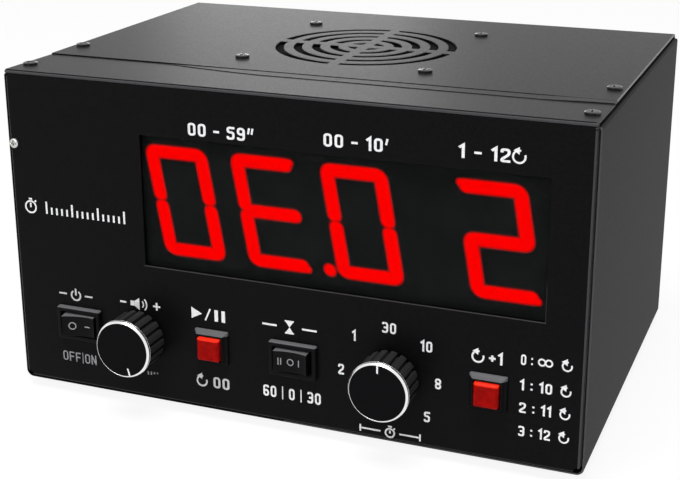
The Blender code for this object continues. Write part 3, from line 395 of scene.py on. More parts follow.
# Painted highlight: the cap's top bevel is a lighter, brighter red.
RED = finish("button_red_plastic", (0.20, 0.0004, 0.0001), (0.27, 0.0012, 0.0001), (0.24, 0.3), 0.04,
             grain=2.5, detail=2.0, relief=0.02, highlight_shade=(0.78, 0.022, 0.008),
             edge=lambda x, y, z: z.span(CONTROL_Z + 3.9, CONTROL_Z + 4.5))
RUBBER = finish("foot_rubber", 0.012, 0.022, (0.75, 0.9), 0.3, detail=4.0, relief=0.04)
BOARD = circuit_board()
CHIP = finish("chip_epoxy", 0.015, 0.022, (0.45, 0.6), 0.4)
SLEEVE = finish("capacitor_sleeve", (0.02, 0.03, 0.10), (0.03, 0.045, 0.14), (0.25, 0.35), grain=3.0)
NYLON = finish("white_nylon", (0.62, 0.6, 0.55), (0.74, 0.72, 0.67), (0.4, 0.5), 0.4)
RIBBON = finish("ribbon_insulation", (0.28, 0.28, 0.29), (0.38, 0.38, 0.39), (0.45, 0.6), 0.4)
PAPER = finish("cone_paper", 0.012, 0.026, (0.85, 0.95), 0.1, grain=0.8, relief=0.05)
FERRITE = finish("ferrite", 0.05, 0.09, (0.5, 0.7), 0.4, grain=1.0, relief=0.03)
CLOTH = speaker_cloth()


def join(*parts):
    """Puts several (vertices, faces) pairs into one."""
    vertices, faces, count = [], [], 0
    for points, quads in parts:
        vertices.append(np.asarray(points, float).reshape(-1, 3))
        faces += [tuple(index + count for index in face) for face in quads]
        count += len(vertices[-1])
    return np.concatenate(vertices), faces


def grid_faces(rows, columns, wrap_rows=False, wrap_columns=False):
    """Quads between neighbours on a grid of points, in row order."""
    row, column = np.meshgrid(np.arange(rows - (not wrap_rows)), np.arange(columns - (not wrap_columns)),
                              indexing="ij")
    row, column = row.ravel(), column.ravel()
    next_row, next_column = (row + 1) % rows, (column + 1) % columns
    quads = (row * columns + column, row * columns + next_column, next_row * columns + next_column,
             next_row * columns + column)
    return np.stack(quads, axis=1).tolist()


def lofted(rings, closed=False, caps=True):
    """Rings of equally many points skinned in order, as (vertices, faces); the end rings are filled."""
    rings = np.asarray(rings, float)
    rows, columns = rings.shape[:2]
    faces = grid_faces(rows, columns, wrap_rows=closed, wrap_columns=True)
    if caps and not closed:
        faces += [list(range(columns))[::-1], list(range((rows - 1) * columns, rows * columns))]
    return rings.reshape(-1, 3), faces


def around(angle):
    """Points on the unit circle: (cos, sin)."""
    return np.stack((np.cos(angle), np.sin(angle)), axis=-1)


def circle(radius, steps=48, centre=(0.0, 0.0)):
    return np.asarray(centre) + radius * around(np.arange(steps) * math.tau / steps)


def rectangle(left, right, bottom, top):
    return np.array(((left, bottom), (right, bottom), (right, top), (left, top)), float)


def rounded(width, height, radius, centre=(0.0, 0.0), steps=5):
    """A rectangle with quarter circles at its corners, anticlockwise."""
    angle = np.linspace(0, math.pi / 2, steps)
    reach = np.array((width / 2 - radius, height / 2 - radius))
    corners = [np.asarray(centre) + reach * side + radius * around(angle + turn * math.pi / 2)
               for turn, side in enumerate(((1, 1), (-1, 1), (-1, -1), (1, -1)))]
    return np.concatenate(corners)


def raised(outline, axis, level):
    """A flat outline put at a level along X, Y or Z."""
    return np.insert(np.asarray(outline, float), "XYZ".index(axis), level, axis=1)


def inside(points, loop):
    """Which points lie inside a loop, by counting how many sides a ray to the right crosses."""
    x, y = points[:, 0:1], points[:, 1:2]
    x0, y0 = loop[:, 0], loop[:, 1]
    x1, y1 = np.roll(x0, -1), np.roll(y0, -1)
    spans = (y0 > y) != (y1 > y)
    with np.errstate(divide="ignore", invalid="ignore"):
        crossing = x0 + (y - y0) * (x1 - x0) / (y1 - y0)
    return (spans & (x < crossing)).sum(axis=1) % 2 == 1


def flat(outline, holes=(), axis="Z", level=0.0):
    """A flat face with holes: a constrained Delaunay mesh of the loops, without the holes' triangles."""
    loops = [np.asarray(loop, float) for loop in (outline, *holes)]
    edges, start = [], 0
    for loop in loops:
        index = np.arange(len(loop))
        edges += np.stack((start + index, start + (index + 1) % len(loop)), axis=1).tolist()
        start += len(loop)
    result = delaunay_2d_cdt([Vector(point) for point in np.concatenate(loops)], edges, [], 0, 1e-5, False)
    vertices = np.array([tuple(point) for point in result[0]])
    triangles = np.array(result[2])
    middles = vertices[triangles].mean(axis=1)
    keep = inside(middles, loops[0])
    for loop in loops[1:]:
        keep &= ~inside(middles, loop)
    return raised(vertices, axis, level), triangles[keep].tolist()


def bend(edge, pivot, angle, steps=BEND_STEPS):
    """Carries an edge round an axis parallel to it: point(t) = pivot + turn(t angle)(edge - pivot)."""
    edge, pivot = np.array(edge, float), np.array(pivot, float)
    along = (edge[1] - edge[0]) / np.linalg.norm(edge[1] - edge[0])
    turn = np.linspace(0, angle, steps + 1)[:, None, None]
    offset = edge - pivot
    axial = (offset @ along)[:, None] * along
    radial = offset - axial
    rows = pivot + axial + radial * np.cos(turn) + np.cross(along, radial) * np.sin(turn)
    return (rows.reshape(-1, 3), grid_faces(steps + 1, 2)), rows[-1]


def turned(profile, steps=48, axis="Y", centre=(0.0, 0.0), closed=False):
    """A profile of (radius, level) turned about an axis."""
    return lofted([raised(circle(radius, steps, centre), axis, level) for radius, level in profile], closed)


def rounded_profile(corners, radius, steps=4, closed=False):
    """Rounds a profile: each corner becomes a quadratic curve between points on its two sides."""
    corners = np.array(corners, float)
    points = []
    for index, (last, corner, following) in enumerate(zip(np.roll(corners, 1, axis=0), corners,
                                                          np.roll(corners, -1, axis=0))):
        if not closed and index in (0, len(corners) - 1):
            points.append(corner[None])
            continue
        back, ahead = last - corner, following - corner
        lengths = np.linalg.norm(back), np.linalg.norm(ahead)
        reach = min(radius, lengths[0] * 0.45, lengths[1] * 0.45)
        start, end = corner + back / lengths[0] * reach, corner + ahead / lengths[1] * reach
        t = np.linspace(0, 1, steps)[:, None]
        points.append((1 - t) ** 2 * start + 2 * t * (1 - t) * corner + t**2 * end)
    return np.concatenate(points)


def piece(name, shape, material, replaces=(), body="case", smooth=32, thickness=0.0, bevel=0.0,
          outward=None):
    """Makes a finished piece from (vertices, faces) in case millimetres."""
    vertices, faces = shape
    mesh = bpy.data.meshes.new(name)
    mesh.from_pydata(((vertices + CASE_ORIGIN) * MM).tolist(), [], faces)
    work = bmesh.new()
    work.from_mesh(mesh)
    bmesh.ops.remove_doubles(work, verts=work.verts, dist=0.002 * MM)
    bmesh.ops.recalc_face_normals(work, faces=work.faces)
    if outward is not None:
        largest = max(work.faces, key=lambda face: face.calc_area())
        if largest.normal.dot(Vector(outward)) < 0:
            bmesh.ops.reverse_faces(work, faces=work.faces)
    work.to_mesh(mesh)
    work.free()
    mesh.shade_smooth()
    mesh.set_sharp_from_angle(angle=math.radians(smooth))
    mesh.materials.append(material)
    made = bpy.data.objects.new(name, mesh)
    bpy.context.scene.collection.objects.link(made)
    if thickness:
        solidify = made.modifiers.new("thickness", "SOLIDIFY")
        solidify.thickness = thickness * MM
        solidify.offset = -1
        solidify.use_even_offset = True
    if bevel:
        edge = made.modifiers.new("edges", "BEVEL")
        edge.width = bevel * MM
        edge.segments = 2
        edge.limit_method = "ANGLE"
        edge.angle_limit = math.radians(smooth)
    if thickness or bevel:
        made.modifiers.new("normals", "WEIGHTED_NORMAL").keep_sharp = True
    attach(made, body)
    if replaces:
        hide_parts(*replaces)
    return made


def sheet(name, parts, node, outward, coat):
    """A folded sheet from the patches of its outer skin."""
    piece(name, join(*parts), coat, (node,), thickness=SHEET, bevel=EDGE_ROUND,
          outward=outward)


def screw_holes(spots):
    return [circle(SCREW_HOLE, 24, spot) for spot in spots]


def base_shell():
    """The bottom and both sides, with the inward flanges on top."""
    top, side = HEIGHT - LAP - SHADOW_GAP, WIDTH / 2
    low_half, high_half = side - LOW_BEND, side - CROWN_BEND
    holes = screw_holes([*FEET.values(), *BOTTOM_SCREWS])
    parts = [flat(rectangle(-low_half, low_half, LAP, BACK_FACE), holes)]
    for hand in (-1, 1):
        low_edge = [(hand * low_half, y, 0) for y in (LAP, BACK_FACE)]
        low, _ = bend(low_edge, (hand * low_half, 0, LOW_BEND), -hand * math.pi / 2)
        wall = rectangle(LAP, BACK_FACE, LOW_BEND, top - CROWN_BEND)
        crown_edge = [(hand * side, y, top - CROWN_BEND) for y in (LAP, BACK_FACE)]
        high, _ = bend(crown_edge, (hand * high_half, 0, top - CROWN_BEND), -hand * math.pi / 2)
        flange = rectangle(*sorted((hand * high_half, hand * (side - FLANGE_WIDTH))), LAP, BACK_FACE)
        spots = [spot for spot in COVER_SCREWS if spot[0] * hand > 0]
        parts += [low, flat(wall, axis="X", level=hand * side), high]
        parts.append(flat(flange, screw_holes(spots), level=top))
    sheet("case_shell", parts, "base_shell", (0, 0, -1), SHELL_COAT)


def returns(face_y, inward, bottom, top):
    """Side and bottom returns, folded back from a face. The side ones end a relief cut below the top."""
    flat_half = INNER_WIDTH / 2 - CORNER_BEND
    far = face_y + inward * RETURN_DEPTH
    parts = []
    for hand in (-1, 1):
        edge = [(hand * flat_half, face_y, z) for z in (bottom + RELIEF, top - RELIEF)]
        pivot = hand * flat_half, face_y + inward * CORNER_BEND, 0
        curve, end = bend(edge, pivot, hand * inward * math.pi / 2)
        wall = rectangle(*sorted((end[0][1], far)), end[0][2], end[1][2])
        parts += [curve, flat(wall, axis="X", level=end[0][0])]
    half = flat_half - 2 * RELIEF
    edge = [(-half, face_y, bottom), (half, face_y, bottom)]
    curve, end = bend(edge, (0, face_y + inward * CORNER_BEND, bottom), inward * math.pi / 2)
    spots = [spot for spot in BOTTOM_SCREWS if abs(spot[1] - face_y) < RETURN_DEPTH]
    shelf = rectangle(-half, half, *sorted((end[0][1], far)))
    return parts + [curve, flat(shelf, screw_holes(spots), level=end[0][2])]


def panel_outline(bottom, top, top_half):
    """A panel's face, with a point wherever a bend starts."""
    flat_half = INNER_WIDTH / 2 - CORNER_BEND
    right = [(flat_half - 2 * RELIEF, bottom), (flat_half, bottom + RELIEF), (flat_half, top - RELIEF),
             (top_half, top)]
    return np.array(right + [(-x, z) for x, z in reversed(right)])


def strip_height(y):
    """The strip dips evenly towards the seam."""
    return HEIGHT - STRIP_DIP * (y - STRIP_START) / (STRIP_DEPTH - STRIP_START)


def strip_skin():
    """The strip on top in front of the seam, with a raised rear margin.

    The margin's edge is at arc_y(x) = STRIP_DEPTH - MARGIN_DEPTH s(x), where s rises smoothly from 0 on the
    left to 1, and the margin stands rise(x) above the strip.
    """
    half = INNER_WIDTH / 2
    smooth = lambda t: np.clip(t, 0, 1) ** 2 * (3 - 2 * np.clip(t, 0, 1))
    x = np.linspace(-half, half, 180)
    share = smooth((x + 80) / 62)
    arc_y = STRIP_DEPTH - MARGIN_DEPTH * share * (1 - 0.3 * smooth((x - 95) / 28))
    rise = 0.24 * smooth(share * 3) + 0.22 * smooth((x - 92) / 22)
    top = strip_height(arc_y) + rise
    rows = [np.stack(row, axis=1) for row in ((x, arc_y - 0.25, strip_height(arc_y - 0.25)),
                                              (x, arc_y - 0.12, top), (x, np.full_like(x, STRIP_DEPTH), top))]
    outline = np.concatenate((np.array(((-half, STRIP_START), (half, STRIP_START))), rows[0][::-1, :2]))
    spots = [spot for spot in COVER_SCREWS if spot[1] < STRIP_DEPTH]
    points, faces = flat(outline, screw_holes(spots), level=HEIGHT)
    points[:, 2] = strip_height(points[:, 1])
    return [(points, faces), (np.concatenate(rows), grid_faces(3, len(x)))]


def opening(node, z, half):
    """A square cut-out in front of a node, at a height, by its half sizes."""
    x = case_centre(node)[0]
    return rectangle(x - half[0], x + half[0], z - half[1], z + half[1])


def front_panel():
    """The front with its cut-outs and returns, folded over in a pressed lip and carried on as the strip."""
    half, bottom, top = INNER_WIDTH / 2, LAP + CORNER_BEND, HEIGHT - LIP_DROP
    left, right, low, high = WINDOW
    holes = [rounded(right - left, high - low, 0.8, ((left + right) / 2, (low + high) / 2))]
    holes += [opening(f"{switch}_switch_housing", z, SWITCH_CUT) for switch, z in SWITCH_Z.items()]
    holes += [opening(f"{button}_button_housing", CONTROL_Z, BUTTON_CUT) for button in BUTTONS]
    bores = (VOLUME_X, VOLUME_BORE), (SELECTOR_X, SELECTOR_BORE)
    holes += [circle(radius, 32, (x, CONTROL_Z)) for x, radius in bores]
    face = flat(panel_outline(bottom, top, half), holes, axis="Y")
    lip = rounded_profile([(0, -LIP_DROP), (0, -1.87), (0.9, -1.82), (0.9, -1.46), (0, -1.42), (0.1, -0.55),
                           (0.3, -0.3), (0.5, -0.46), (0.66, -0.42), (0.78, -0.05), (STRIP_START, 0)],
                          0.08, 3)
    fold = [(x, y, HEIGHT + z) for y, z in lip for x in (-half, half)], grid_faces(len(lip), 2)
    parts = [face, fold, *strip_skin(), *returns(0, 1, bottom, top)]
    sheet("front_plate", parts, "front_panel", (0, -1, 1), FRONT_COAT)


def back_panel():
    """The back face with its returns and the hole for the power socket."""
    bottom, top = LAP + CORNER_BEND, HEIGHT - 2 * LAP - CORNER_BEND
    half = INNER_WIDTH / 2 - CORNER_BEND - 2 * RELIEF
    holes = [circle(JACK_BORE, 32, JACK), *screw_holes(LIP_SCREWS)]
    face = flat(panel_outline(bottom, top, half), holes, axis="Y", level=BACK_FACE)
    edge = [(-half, BACK_FACE, top), (half, BACK_FACE, top)]
    curve, end = bend(edge, (0, BACK_FACE - CORNER_BEND, top), math.pi / 2)
    shelf = flat(rectangle(-half, half, BACK_FACE - RETURN_DEPTH, end[0][1]), level=end[0][2])
    parts = [face, *returns(BACK_FACE, -1, bottom, top), curve, shelf]
    sheet("rear_plate", parts, "back_panel", (0, 1, 0), COAT)


def grille_slot(outer, quarter):
    """A quarter of a ring between two spokes with parallel sides."""
    arcs = []
    for radius in (outer, outer - SLOT_WIDTH):
        spare = math.asin(SPOKE_WIDTH / 2 / radius)
        start, end = quarter * math.pi / 2 + spare, (quarter + 1) * math.pi / 2 - spare
        arcs.append(SPEAKER + radius * around(np.linspace(start, end, 4 + round(outer / 1.6))))
    return np.concatenate((arcs[0], arcs[1][::-1]))


def top_cover():
    """The lid with its grille and the lip turned down over the back."""
    side, back = INNER_WIDTH / 2, DEPTH - BEND
    holes = [grille_slot(radius, quarter) for radius in GRILLE_RADII for quarter in range(4)]
    holes += screw_holes([spot for spot in COVER_SCREWS if spot[1] > STRIP_DEPTH] + SPEAKER_SCREWS)
    lid = flat(rectangle(-side, side, COVER_FRONT, back), holes, level=HEIGHT)
    curve, _ = bend([(-side, back, HEIGHT), (side, back, HEIGHT)], (0, back, HEIGHT - BEND), -math.pi / 2)
    lip_outline = rectangle(-side, side, HEIGHT - REAR_LIP, HEIGHT - BEND)
    lip = flat(lip_outline, screw_holes(LIP_SCREWS), axis="Y", level=DEPTH)
    sheet("cover_plate", [lid, curve, lip], "top_cover", (0, 0, 1), COVER_COAT)


def stretched_cloth():
    """The black cloth that is held flat between the cover and the speaker's flange.

    A point at share s of the radius and angle a is at (R s cos a, R s sin a), and sags by 0.06 (1 - s s) mm.
    """
    low, high = case_box("grille_cloth")
    radius, top = (high[0] - low[0]) / 2, high[2] - 0.03
    shares = np.linspace(0.1, 1, 10)
    loops = [(circle(radius * share, 96, SPEAKER), top - 0.06 * (1 - share ** 2)) for share in shares]
    middle = flat(loops[0][0], level=loops[0][1])
    rest = lofted([raised(loop, "Z", level) for loop, level in loops], caps=False)
    cloth = piece("grille_cloth_sheet", join(middle, rest), CLOTH, ("grille_cloth",),
                  thickness=0.3, outward=(0, 0, 1))
    across = 2 * radius * MM
    math.pi * across ** 2 / 4


def pan_screw(head_radius, head_height, shank, length, cross):
    """A pan-head screw along +Z with its seat at the origin, and a cross sunk in its head.

    The head's height over a polar grid is head_height (1 - 0.28 (r / R)^5), less the recess: full depth where
    the smaller of |x| and |y| is under half a slot's width and the radius is under the cross's reach.
    """
    steps = 48
    radius = np.concatenate((np.linspace(0.02, 0.9, 16), (0.95, 0.985, 1.0))) * head_radius
    spots = radius[:, None, None] * circle(1.0, steps)
    r, arm = radius[:, None], np.abs(spots).min(axis=2)
    slope = np.clip((head_radius * 0.16 - arm) / (head_radius * 0.06), 0, 1)
    end = np.clip((cross - r) / (head_radius * 0.12), 0, 1)
    z = head_height * (1 - 0.28 * (r / head_radius) ** 5) - head_height * 0.62 * slope * end
    dome = np.concatenate((spots, z[:, :, None]), axis=2)[::-1]
    side = [raised(circle(value, steps), "Z", level) for value, level in
            ((shank * 0.7, -length), (shank, -length + 0.5), (shank, 0.0), (head_radius, 0.0))]
    return lofted(np.concatenate((side, dome)))


def screw(name, shape, spot, metal=BLACK_SCREW, replaces=(), axis="Z", sign=1):
    """Stands a screw made along +Z on a spot, pointing along an axis."""
    points, faces = shape
    points = points[:, [0, 2, 1]] * (1, sign, 1) if axis == "Y" else points * (1, 1, sign)
    piece(name, (points + np.array(spot), faces), metal, replaces)


def screws():
    """Every screw that can be seen from outside."""
    black = pan_screw(3.0, 1.3, 1.4, 7.0, 1.9)
    for kind in ("strip", "cover"):
        for side in ("left", "right"):
            x, y = case_centre(f"{kind}_screw_{side}")[:2]
            level = SEAT + (strip_height(y) if kind == "strip" else HEIGHT)
            screw(f"{kind}_cross_screw_{side}", black, (x, y, level), replaces=(f"{kind}_screw_{side}",))
    for number, (x, y) in enumerate(SPEAKER_SCREWS, 1):
        screw(f"speaker_cross_screw_{number}", black, (x, y, HEIGHT + SEAT),
              replaces=(f"speaker_screw_{number}",))
    for number, (x, z) in enumerate(LIP_SCREWS, 1):
        screw(f"rear_lip_screw_{number}", black, (x, DEPTH + SEAT, z), axis="Y")
    for number, (x, y) in enumerate(BOTTOM_SCREWS, 1):
        screw(f"underside_screw_{number}", black, (x, y, -SEAT), sign=-1)
    x, _, z = case_centre("front_edge_screw")
    screw("front_edge_cross_screw", pan_screw(2.0, 1.3, 0.7, 4.3, 1.4), (x, -SEAT, z), ZINC,
          ("front_edge_screw",), "Y", -1)
    foot = pan_screw(2.8, 1.3, 1.4, 6.5, 1.9)
    for place, (x, y) in FEET.items():
        screw(f"foot_screw_{place}", foot, (x, y, -2.2), ZINC, sign=-1)


def feet():
    """Rubber feet turned with soft edges round a sunk screw."""
    profile = rounded_profile([(SCREW_HOLE, -0.3), (7.0, -0.3), (6.2, -4.0), (3.4, -4.0), (3.4, -1.9),
                               (SCREW_HOLE, -1.9)], 0.5, closed=True)
    for place, spot in FEET.items():
        shape = turned(profile, 48, "Z", spot, closed=True)
        piece(f"rubber_foot_{place}", shape, RUBBER, (f"foot_{place}",))


# Digits, before they lean: a stroke's width, the outer corner, the middle lines, and the dot
LEAN = -0.175
STROKE = 5.3
DIGIT_HALF = np.array((13.7, 23.1))
BAR_X, BAR_Z, JOINT, FREE = 11.05, 20.55, 2.6, 9.8
DOT = (-13.4 + 20.6 * LEAN, -20.6)
DOT_RADIUS = 2.5
LIT_SEGMENTS = ("abcdef", "adefg", "abcdefp", "abdeg")


def segment_outlines():
    """The seven bars and the dot before they lean, by their usual letters, cut on the mitre lines."""
    half_x, half_z = DIGIT_HALF
    in_x, in_z, half = half_x - STROKE, half_z - STROKE, STROKE / 2
    middle, cut_back = half_x - half, 1.4
    flip = lambda outline, x, z: (outline * (x, z))[::x * z]
    top = np.array(((-in_x, in_z), (in_x, in_z), (half_x - cut_back, half_z - 0.4),
                    (half_x - cut_back - 0.5, half_z), (0.5 + cut_back - half_x, half_z),
                    (cut_back - half_x, half_z - 0.4)))
    side = np.array(((in_x, in_z - 0.3), (in_x, half), (middle, 0.3), (half_x, half), (half_x, half_z - 2.0)))
    bar = np.array(((-middle, 0), (-in_x, -half), (in_x, -half), (middle, 0), (in_x, half), (-in_x, half)))
    return {"a": top, "b": side, "c": flip(side, 1, -1), "d": flip(top, 1, -1), "e": flip(side, -1, -1),
            "f": flip(side, -1, 1), "g": bar, "p": circle(DOT_RADIUS, 24, DOT)}


def digits():
    """Cast bars in each digit's slots: the lit ones as red light, the others dark."""
    for number, letters in enumerate(LIT_SEGMENTS, 1):
        module_low, module_high = case_box(f"display_module_{number}")
        centre_x, _, centre_z = (module_low + module_high) / 2
        groups = {"lit": [], "unlit": []}
        for letter, outline in segment_outlines().items():
            leaned = outline @ ((1, 0), (LEAN, 1)) + (centre_x, centre_z)
            state = "lit" if letter in letters else "unlit"
            face = module_low[1] - 0.05 if state == "lit" else module_low[1] + 0.02
            groups[state].append(lofted([raised(leaned, "Y", level) for level in (face, module_high[1])]))
        for state, material in (("lit", LIT), ("unlit", UNLIT)):
            piece(f"digit_{number}_{state}_bars", join(*groups[state]), material,
                  (f"digit_{number}_segments",), smooth=20)


def lit_strokes():
    """The middle lines of the lit bars in each digit, as (path, half width), before they lean."""
    x, z, tip_z = BAR_X, BAR_Z, BAR_Z + 1.05
    wide, tip = STROKE / 2, 1.45
    ring = [([(-x, s * JOINT), (-x, s * z), (x, s * z), (x, s * JOINT)], wide) for s in (1, -1)]
    three = [([(FREE, s * z), (-x, s * z), (-x, s * JOINT)], wide) for s in (1, -1)]
    three += [([(-9.8, 0), (10.2, 0)], wide)]
    three += [([(5, s * tip_z), (11.8, s * tip_z)], tip) for s in (1, -1)]
    bent = [([(-FREE, z), (x, z), (x, 0), (-x, 0), (-x, -z), (FREE, -z)], wide),
            ([(-5, tip_z), (-11.8, tip_z)], tip), ([(5, -tip_z), (11.8, -tip_z)], tip)]
    return ring, three, [*ring, ([DOT, (DOT[0] + 0.01, DOT[1])], DOT_RADIUS)], bent


def light_reach(x, z):
    """How far points lie inside the lit bars: half width - distance to the nearest middle line, in mm."""
    reach = np.full(x.shape, -9.0)
    shifts = ((0.35, 0.0), (0.35, 0.0), (0.35, 0.0), (0.1, -0.2))
    for number, (strokes, shift) in enumerate(zip(lit_strokes(), shifts), 1):
        centre = case_centre(f"display_module_{number}")
        up = z - centre[2] - shift[1]
        along = x - centre[0] - shift[0] - up * LEAN
        for path, width in strokes:
            path = rounded_profile(path, 2.2, 5)
            for start, step in zip(path, np.diff(path, axis=0)):
                share = ((along - start[0]) * step[0] + (up - start[1]) * step[1]) / (step @ step)
                share = np.clip(share, 0, 1)
                gap = np.hypot(along - start[0] - share * step[0], up - start[1] - share * step[1])
                narrow = 0.13 * abs(step[0]) / np.hypot(*step)
                reach = np.maximum(reach, width + 0.05 - narrow - gap)
    return reach


def diffuser():
    """The thin film over the digit modules. Each of its points knows its reach into the lit bars."""
    lap, pitch, gap = 1.2, 0.55, 0.22
    left, right, low, high = WINDOW + (-lap, lap, -lap, lap)
    columns, rows = round((right - left) / pitch), round((high - low) / pitch)
    x, z = np.meshgrid(np.linspace(left, right, columns), np.linspace(low, high, rows))
    level = case_box("display_module_1")[0][1] - gap
    points = np.stack((x.ravel(), np.full(x.size, level), z.ravel()), axis=1)
    film = piece("display_diffuser_film", (points, grid_faces(rows, columns)), FILM,
                 thickness=0.05, outward=(0, -1, 0))
    spots = np.array([vertex.co[:] for vertex in film.data.vertices]) / MM - CASE_ORIGIN
    reach = film.data.attributes.new("reach", "FLOAT", "POINT")
    reach.data.foreach_set("value", light_reach(spots[:, 0], spots[:, 2]))


def rocker_switch(name, tilt, marks):
    """A snap-in rocker switch: bezel, rocker with a hollowed face, and the marks printed on it."""
    centre_x, level_z = case_centre(f"{name}_switch_housing")[0], SWITCH_Z[name]
    sections = ((18.8, 12.7, 0.5, 13.5), (18.8, 12.7, 0.5, -0.05), (20.9, 14.9, 0.9, -0.05),
                (20.9, 14.9, 0.9, -1.5), (20.7, 14.7, 0.9, -1.9), (20.2, 14.2, 0.8, -2.2),
                (19.8, 13.8, 0.8, -2.3), (17.6, 11.2, 0.5, -2.3), (17.2, 10.8, 0.5, -2.1),
                (16.8, 10.4, 0.4, -1.7), (16.8, 10.4, 0.4, 9.0))
    bezel = [raised(rounded(*sizes, (centre_x, level_z)), "Y", y) for *sizes, y in sections]
    piece(f"{name}_switch_bezel", lofted(bezel), switch_plastic(f"{name}_bezel_plastic", level_z + 6.93),
          (f"{name}_switch_housing",), smooth=40)
    pivot_y, half = 2.5, 7.2
    x = np.linspace(-half, half, 25)
    face = -4.6 - pivot_y + 1.25 * (1 - (x / half) ** 2) ** 0.8
    back = (half, 0.5), (3.0, 3.0), (-3.0, 3.0), (-half, 0.5)
    section = np.concatenate((np.stack((x, face), axis=1), back))
    turn = math.radians(tilt)
    spin = np.array(((math.cos(turn), math.sin(turn)), (-math.sin(turn), math.cos(turn))))
    rings = []
    for level, draw in ((-4.7, 0.35), (-4.35, 0.0), (4.35, 0.0), (4.7, 0.35)):
        loop = section.copy()
        loop[:25, 1] += draw
        loop[:, 0] *= 1 - draw * 0.04
        rings.append(raised(loop @ spin + (centre_x, pivot_y), "Z", level_z + level))
    rocker = f"{name}_rocker"
    piece(f"{name}_rocker_key", lofted(rings), switch_plastic(f"{name}_rocker_plastic", level_z + 4.4),
          (rocker,), body=rocker, smooth=35)
    for number, (mark_x, (points, faces)) in enumerate(marks, 1):
        along = mark_x + points[:, 0]
        depth = np.interp(along, x, face) - 0.05 + points[:, 1] * 0.03
        spots = np.stack((along, depth), axis=1) @ spin + (centre_x, pivot_y)
        shape = np.stack((spots[:, 0], spots[:, 1], level_z + points[:, 2]), axis=1), faces
        piece(f"{name}_rocker_mark_{number}", shape, GREY_INK, body=rocker)


def push_button(name):
    """A square push button: a skirt in two slopes round a glossy red cap with a dished face."""
    centre = case_centre(f"{name}_button_housing")[0], CONTROL_Z
    square = lambda side, radius, y: raised(rounded(side, side, radius, centre, 6), "Y", y)
    skirt = [square(*ring) for ring in
             ((11.8, 0.6, 11.0), (11.8, 0.6, -0.05), (15.0, 0.5, -0.05), (15.0, 0.5, -0.8), (14.7, 0.5, -1.1),
              (13.4, 0.5, -1.7), (13.2, 0.5, -1.9), (12.1, 0.6, -3.0), (11.9, 0.6, -3.2), (11.0, 0.6, -3.2),
              (10.8, 0.6, -3.0), (10.8, 0.6, 8.0))]
    piece(f"{name}_button_skirt", lofted(skirt), switch_plastic(f"{name}_skirt_plastic", CONTROL_Z + 6.0),
          (f"{name}_button_housing",), smooth=40)
    stem = [raised(circle(1.6, 24, centre), "Y", y) for y in (5.0, 1.5)]
    cap = [square(*ring) for ring in
           ((10.0, 0.7, 1.5), (10.0, 0.7, -3.9), (9.9, 0.8, -4.1), (9.6, 0.9, -4.35), (9.0, 1.0, -4.7),
            (8.4, 1.0, -4.94), (8.0, 1.0, -5.0), (7.0, 1.2, -4.92), (4.5, 1.0, -4.74), (2.0, 0.6, -4.7))]
    piece(f"{name}_button_key", lofted(stem + cap), RED, (f"{name}_button_cap",),
          body=f"{name}_button", smooth=50)


def coil_spring(name):
    """A closed-end wire spring behind the cap.

    At an angle a on the coil, the wire's middle is at (r cos a, y, r sin a). y climbs slowly at both ends.
    """
    low, high = case_box(f"{name}_button_spring")
    middle, wire, turns = (low + high) / 2, 0.3, 6
    turn = np.linspace(0, turns, turns * 24 + 1)
    closed_ends = np.clip(turn, 0, 1) + np.clip(turn - turns + 1, 0, 1)
    climb = 0.76 * np.clip((turn - 1) / (turns - 2), 0, 1) + 0.12 * closed_ends
    out = np.insert(around(turn * math.tau), 1, 0.0, axis=1)[:, None]
    section = circle(wire, 8)
    spots = middle + out * ((high[0] - low[0]) / 2 - wire + section[:, :1])
    spots[:, :, 1] = (low[1] + wire + climb * (high[1] - low[1] - 2 * wire))[:, None] + section[:, 1]
    coil = piece(f"{name}_button_coil", lofted(spots), ZINC, (f"{name}_button_spring",),
                 smooth=60)
    anchor = (CASE_ORIGIN + (middle[0], high[1], middle[2])) * MM
    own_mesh(coil)


FLUTES = 18
FLUTE_STEPS = FLUTES * 16
KNOB_RADIUS = 12.1


def fluted(radius, y, centre_x):
    """Broad lands between narrow grooves: radius less a groove's depth near every eighteenth of a turn."""
    angle = np.arange(FLUTE_STEPS) * math.tau / FLUTE_STEPS
    share = angle * FLUTES / math.tau % 1
    groove = np.clip((0.17 - np.abs(share - 0.5)) / 0.07, 0, 1)
    land = 0.12 * np.cos(share * math.tau)
    r = radius + land - 0.12 - 1.3 * groove * groove * (3 - 2 * groove)
    return raised((centre_x, CONTROL_Z) + r[:, None] * around(angle), "Y", y)


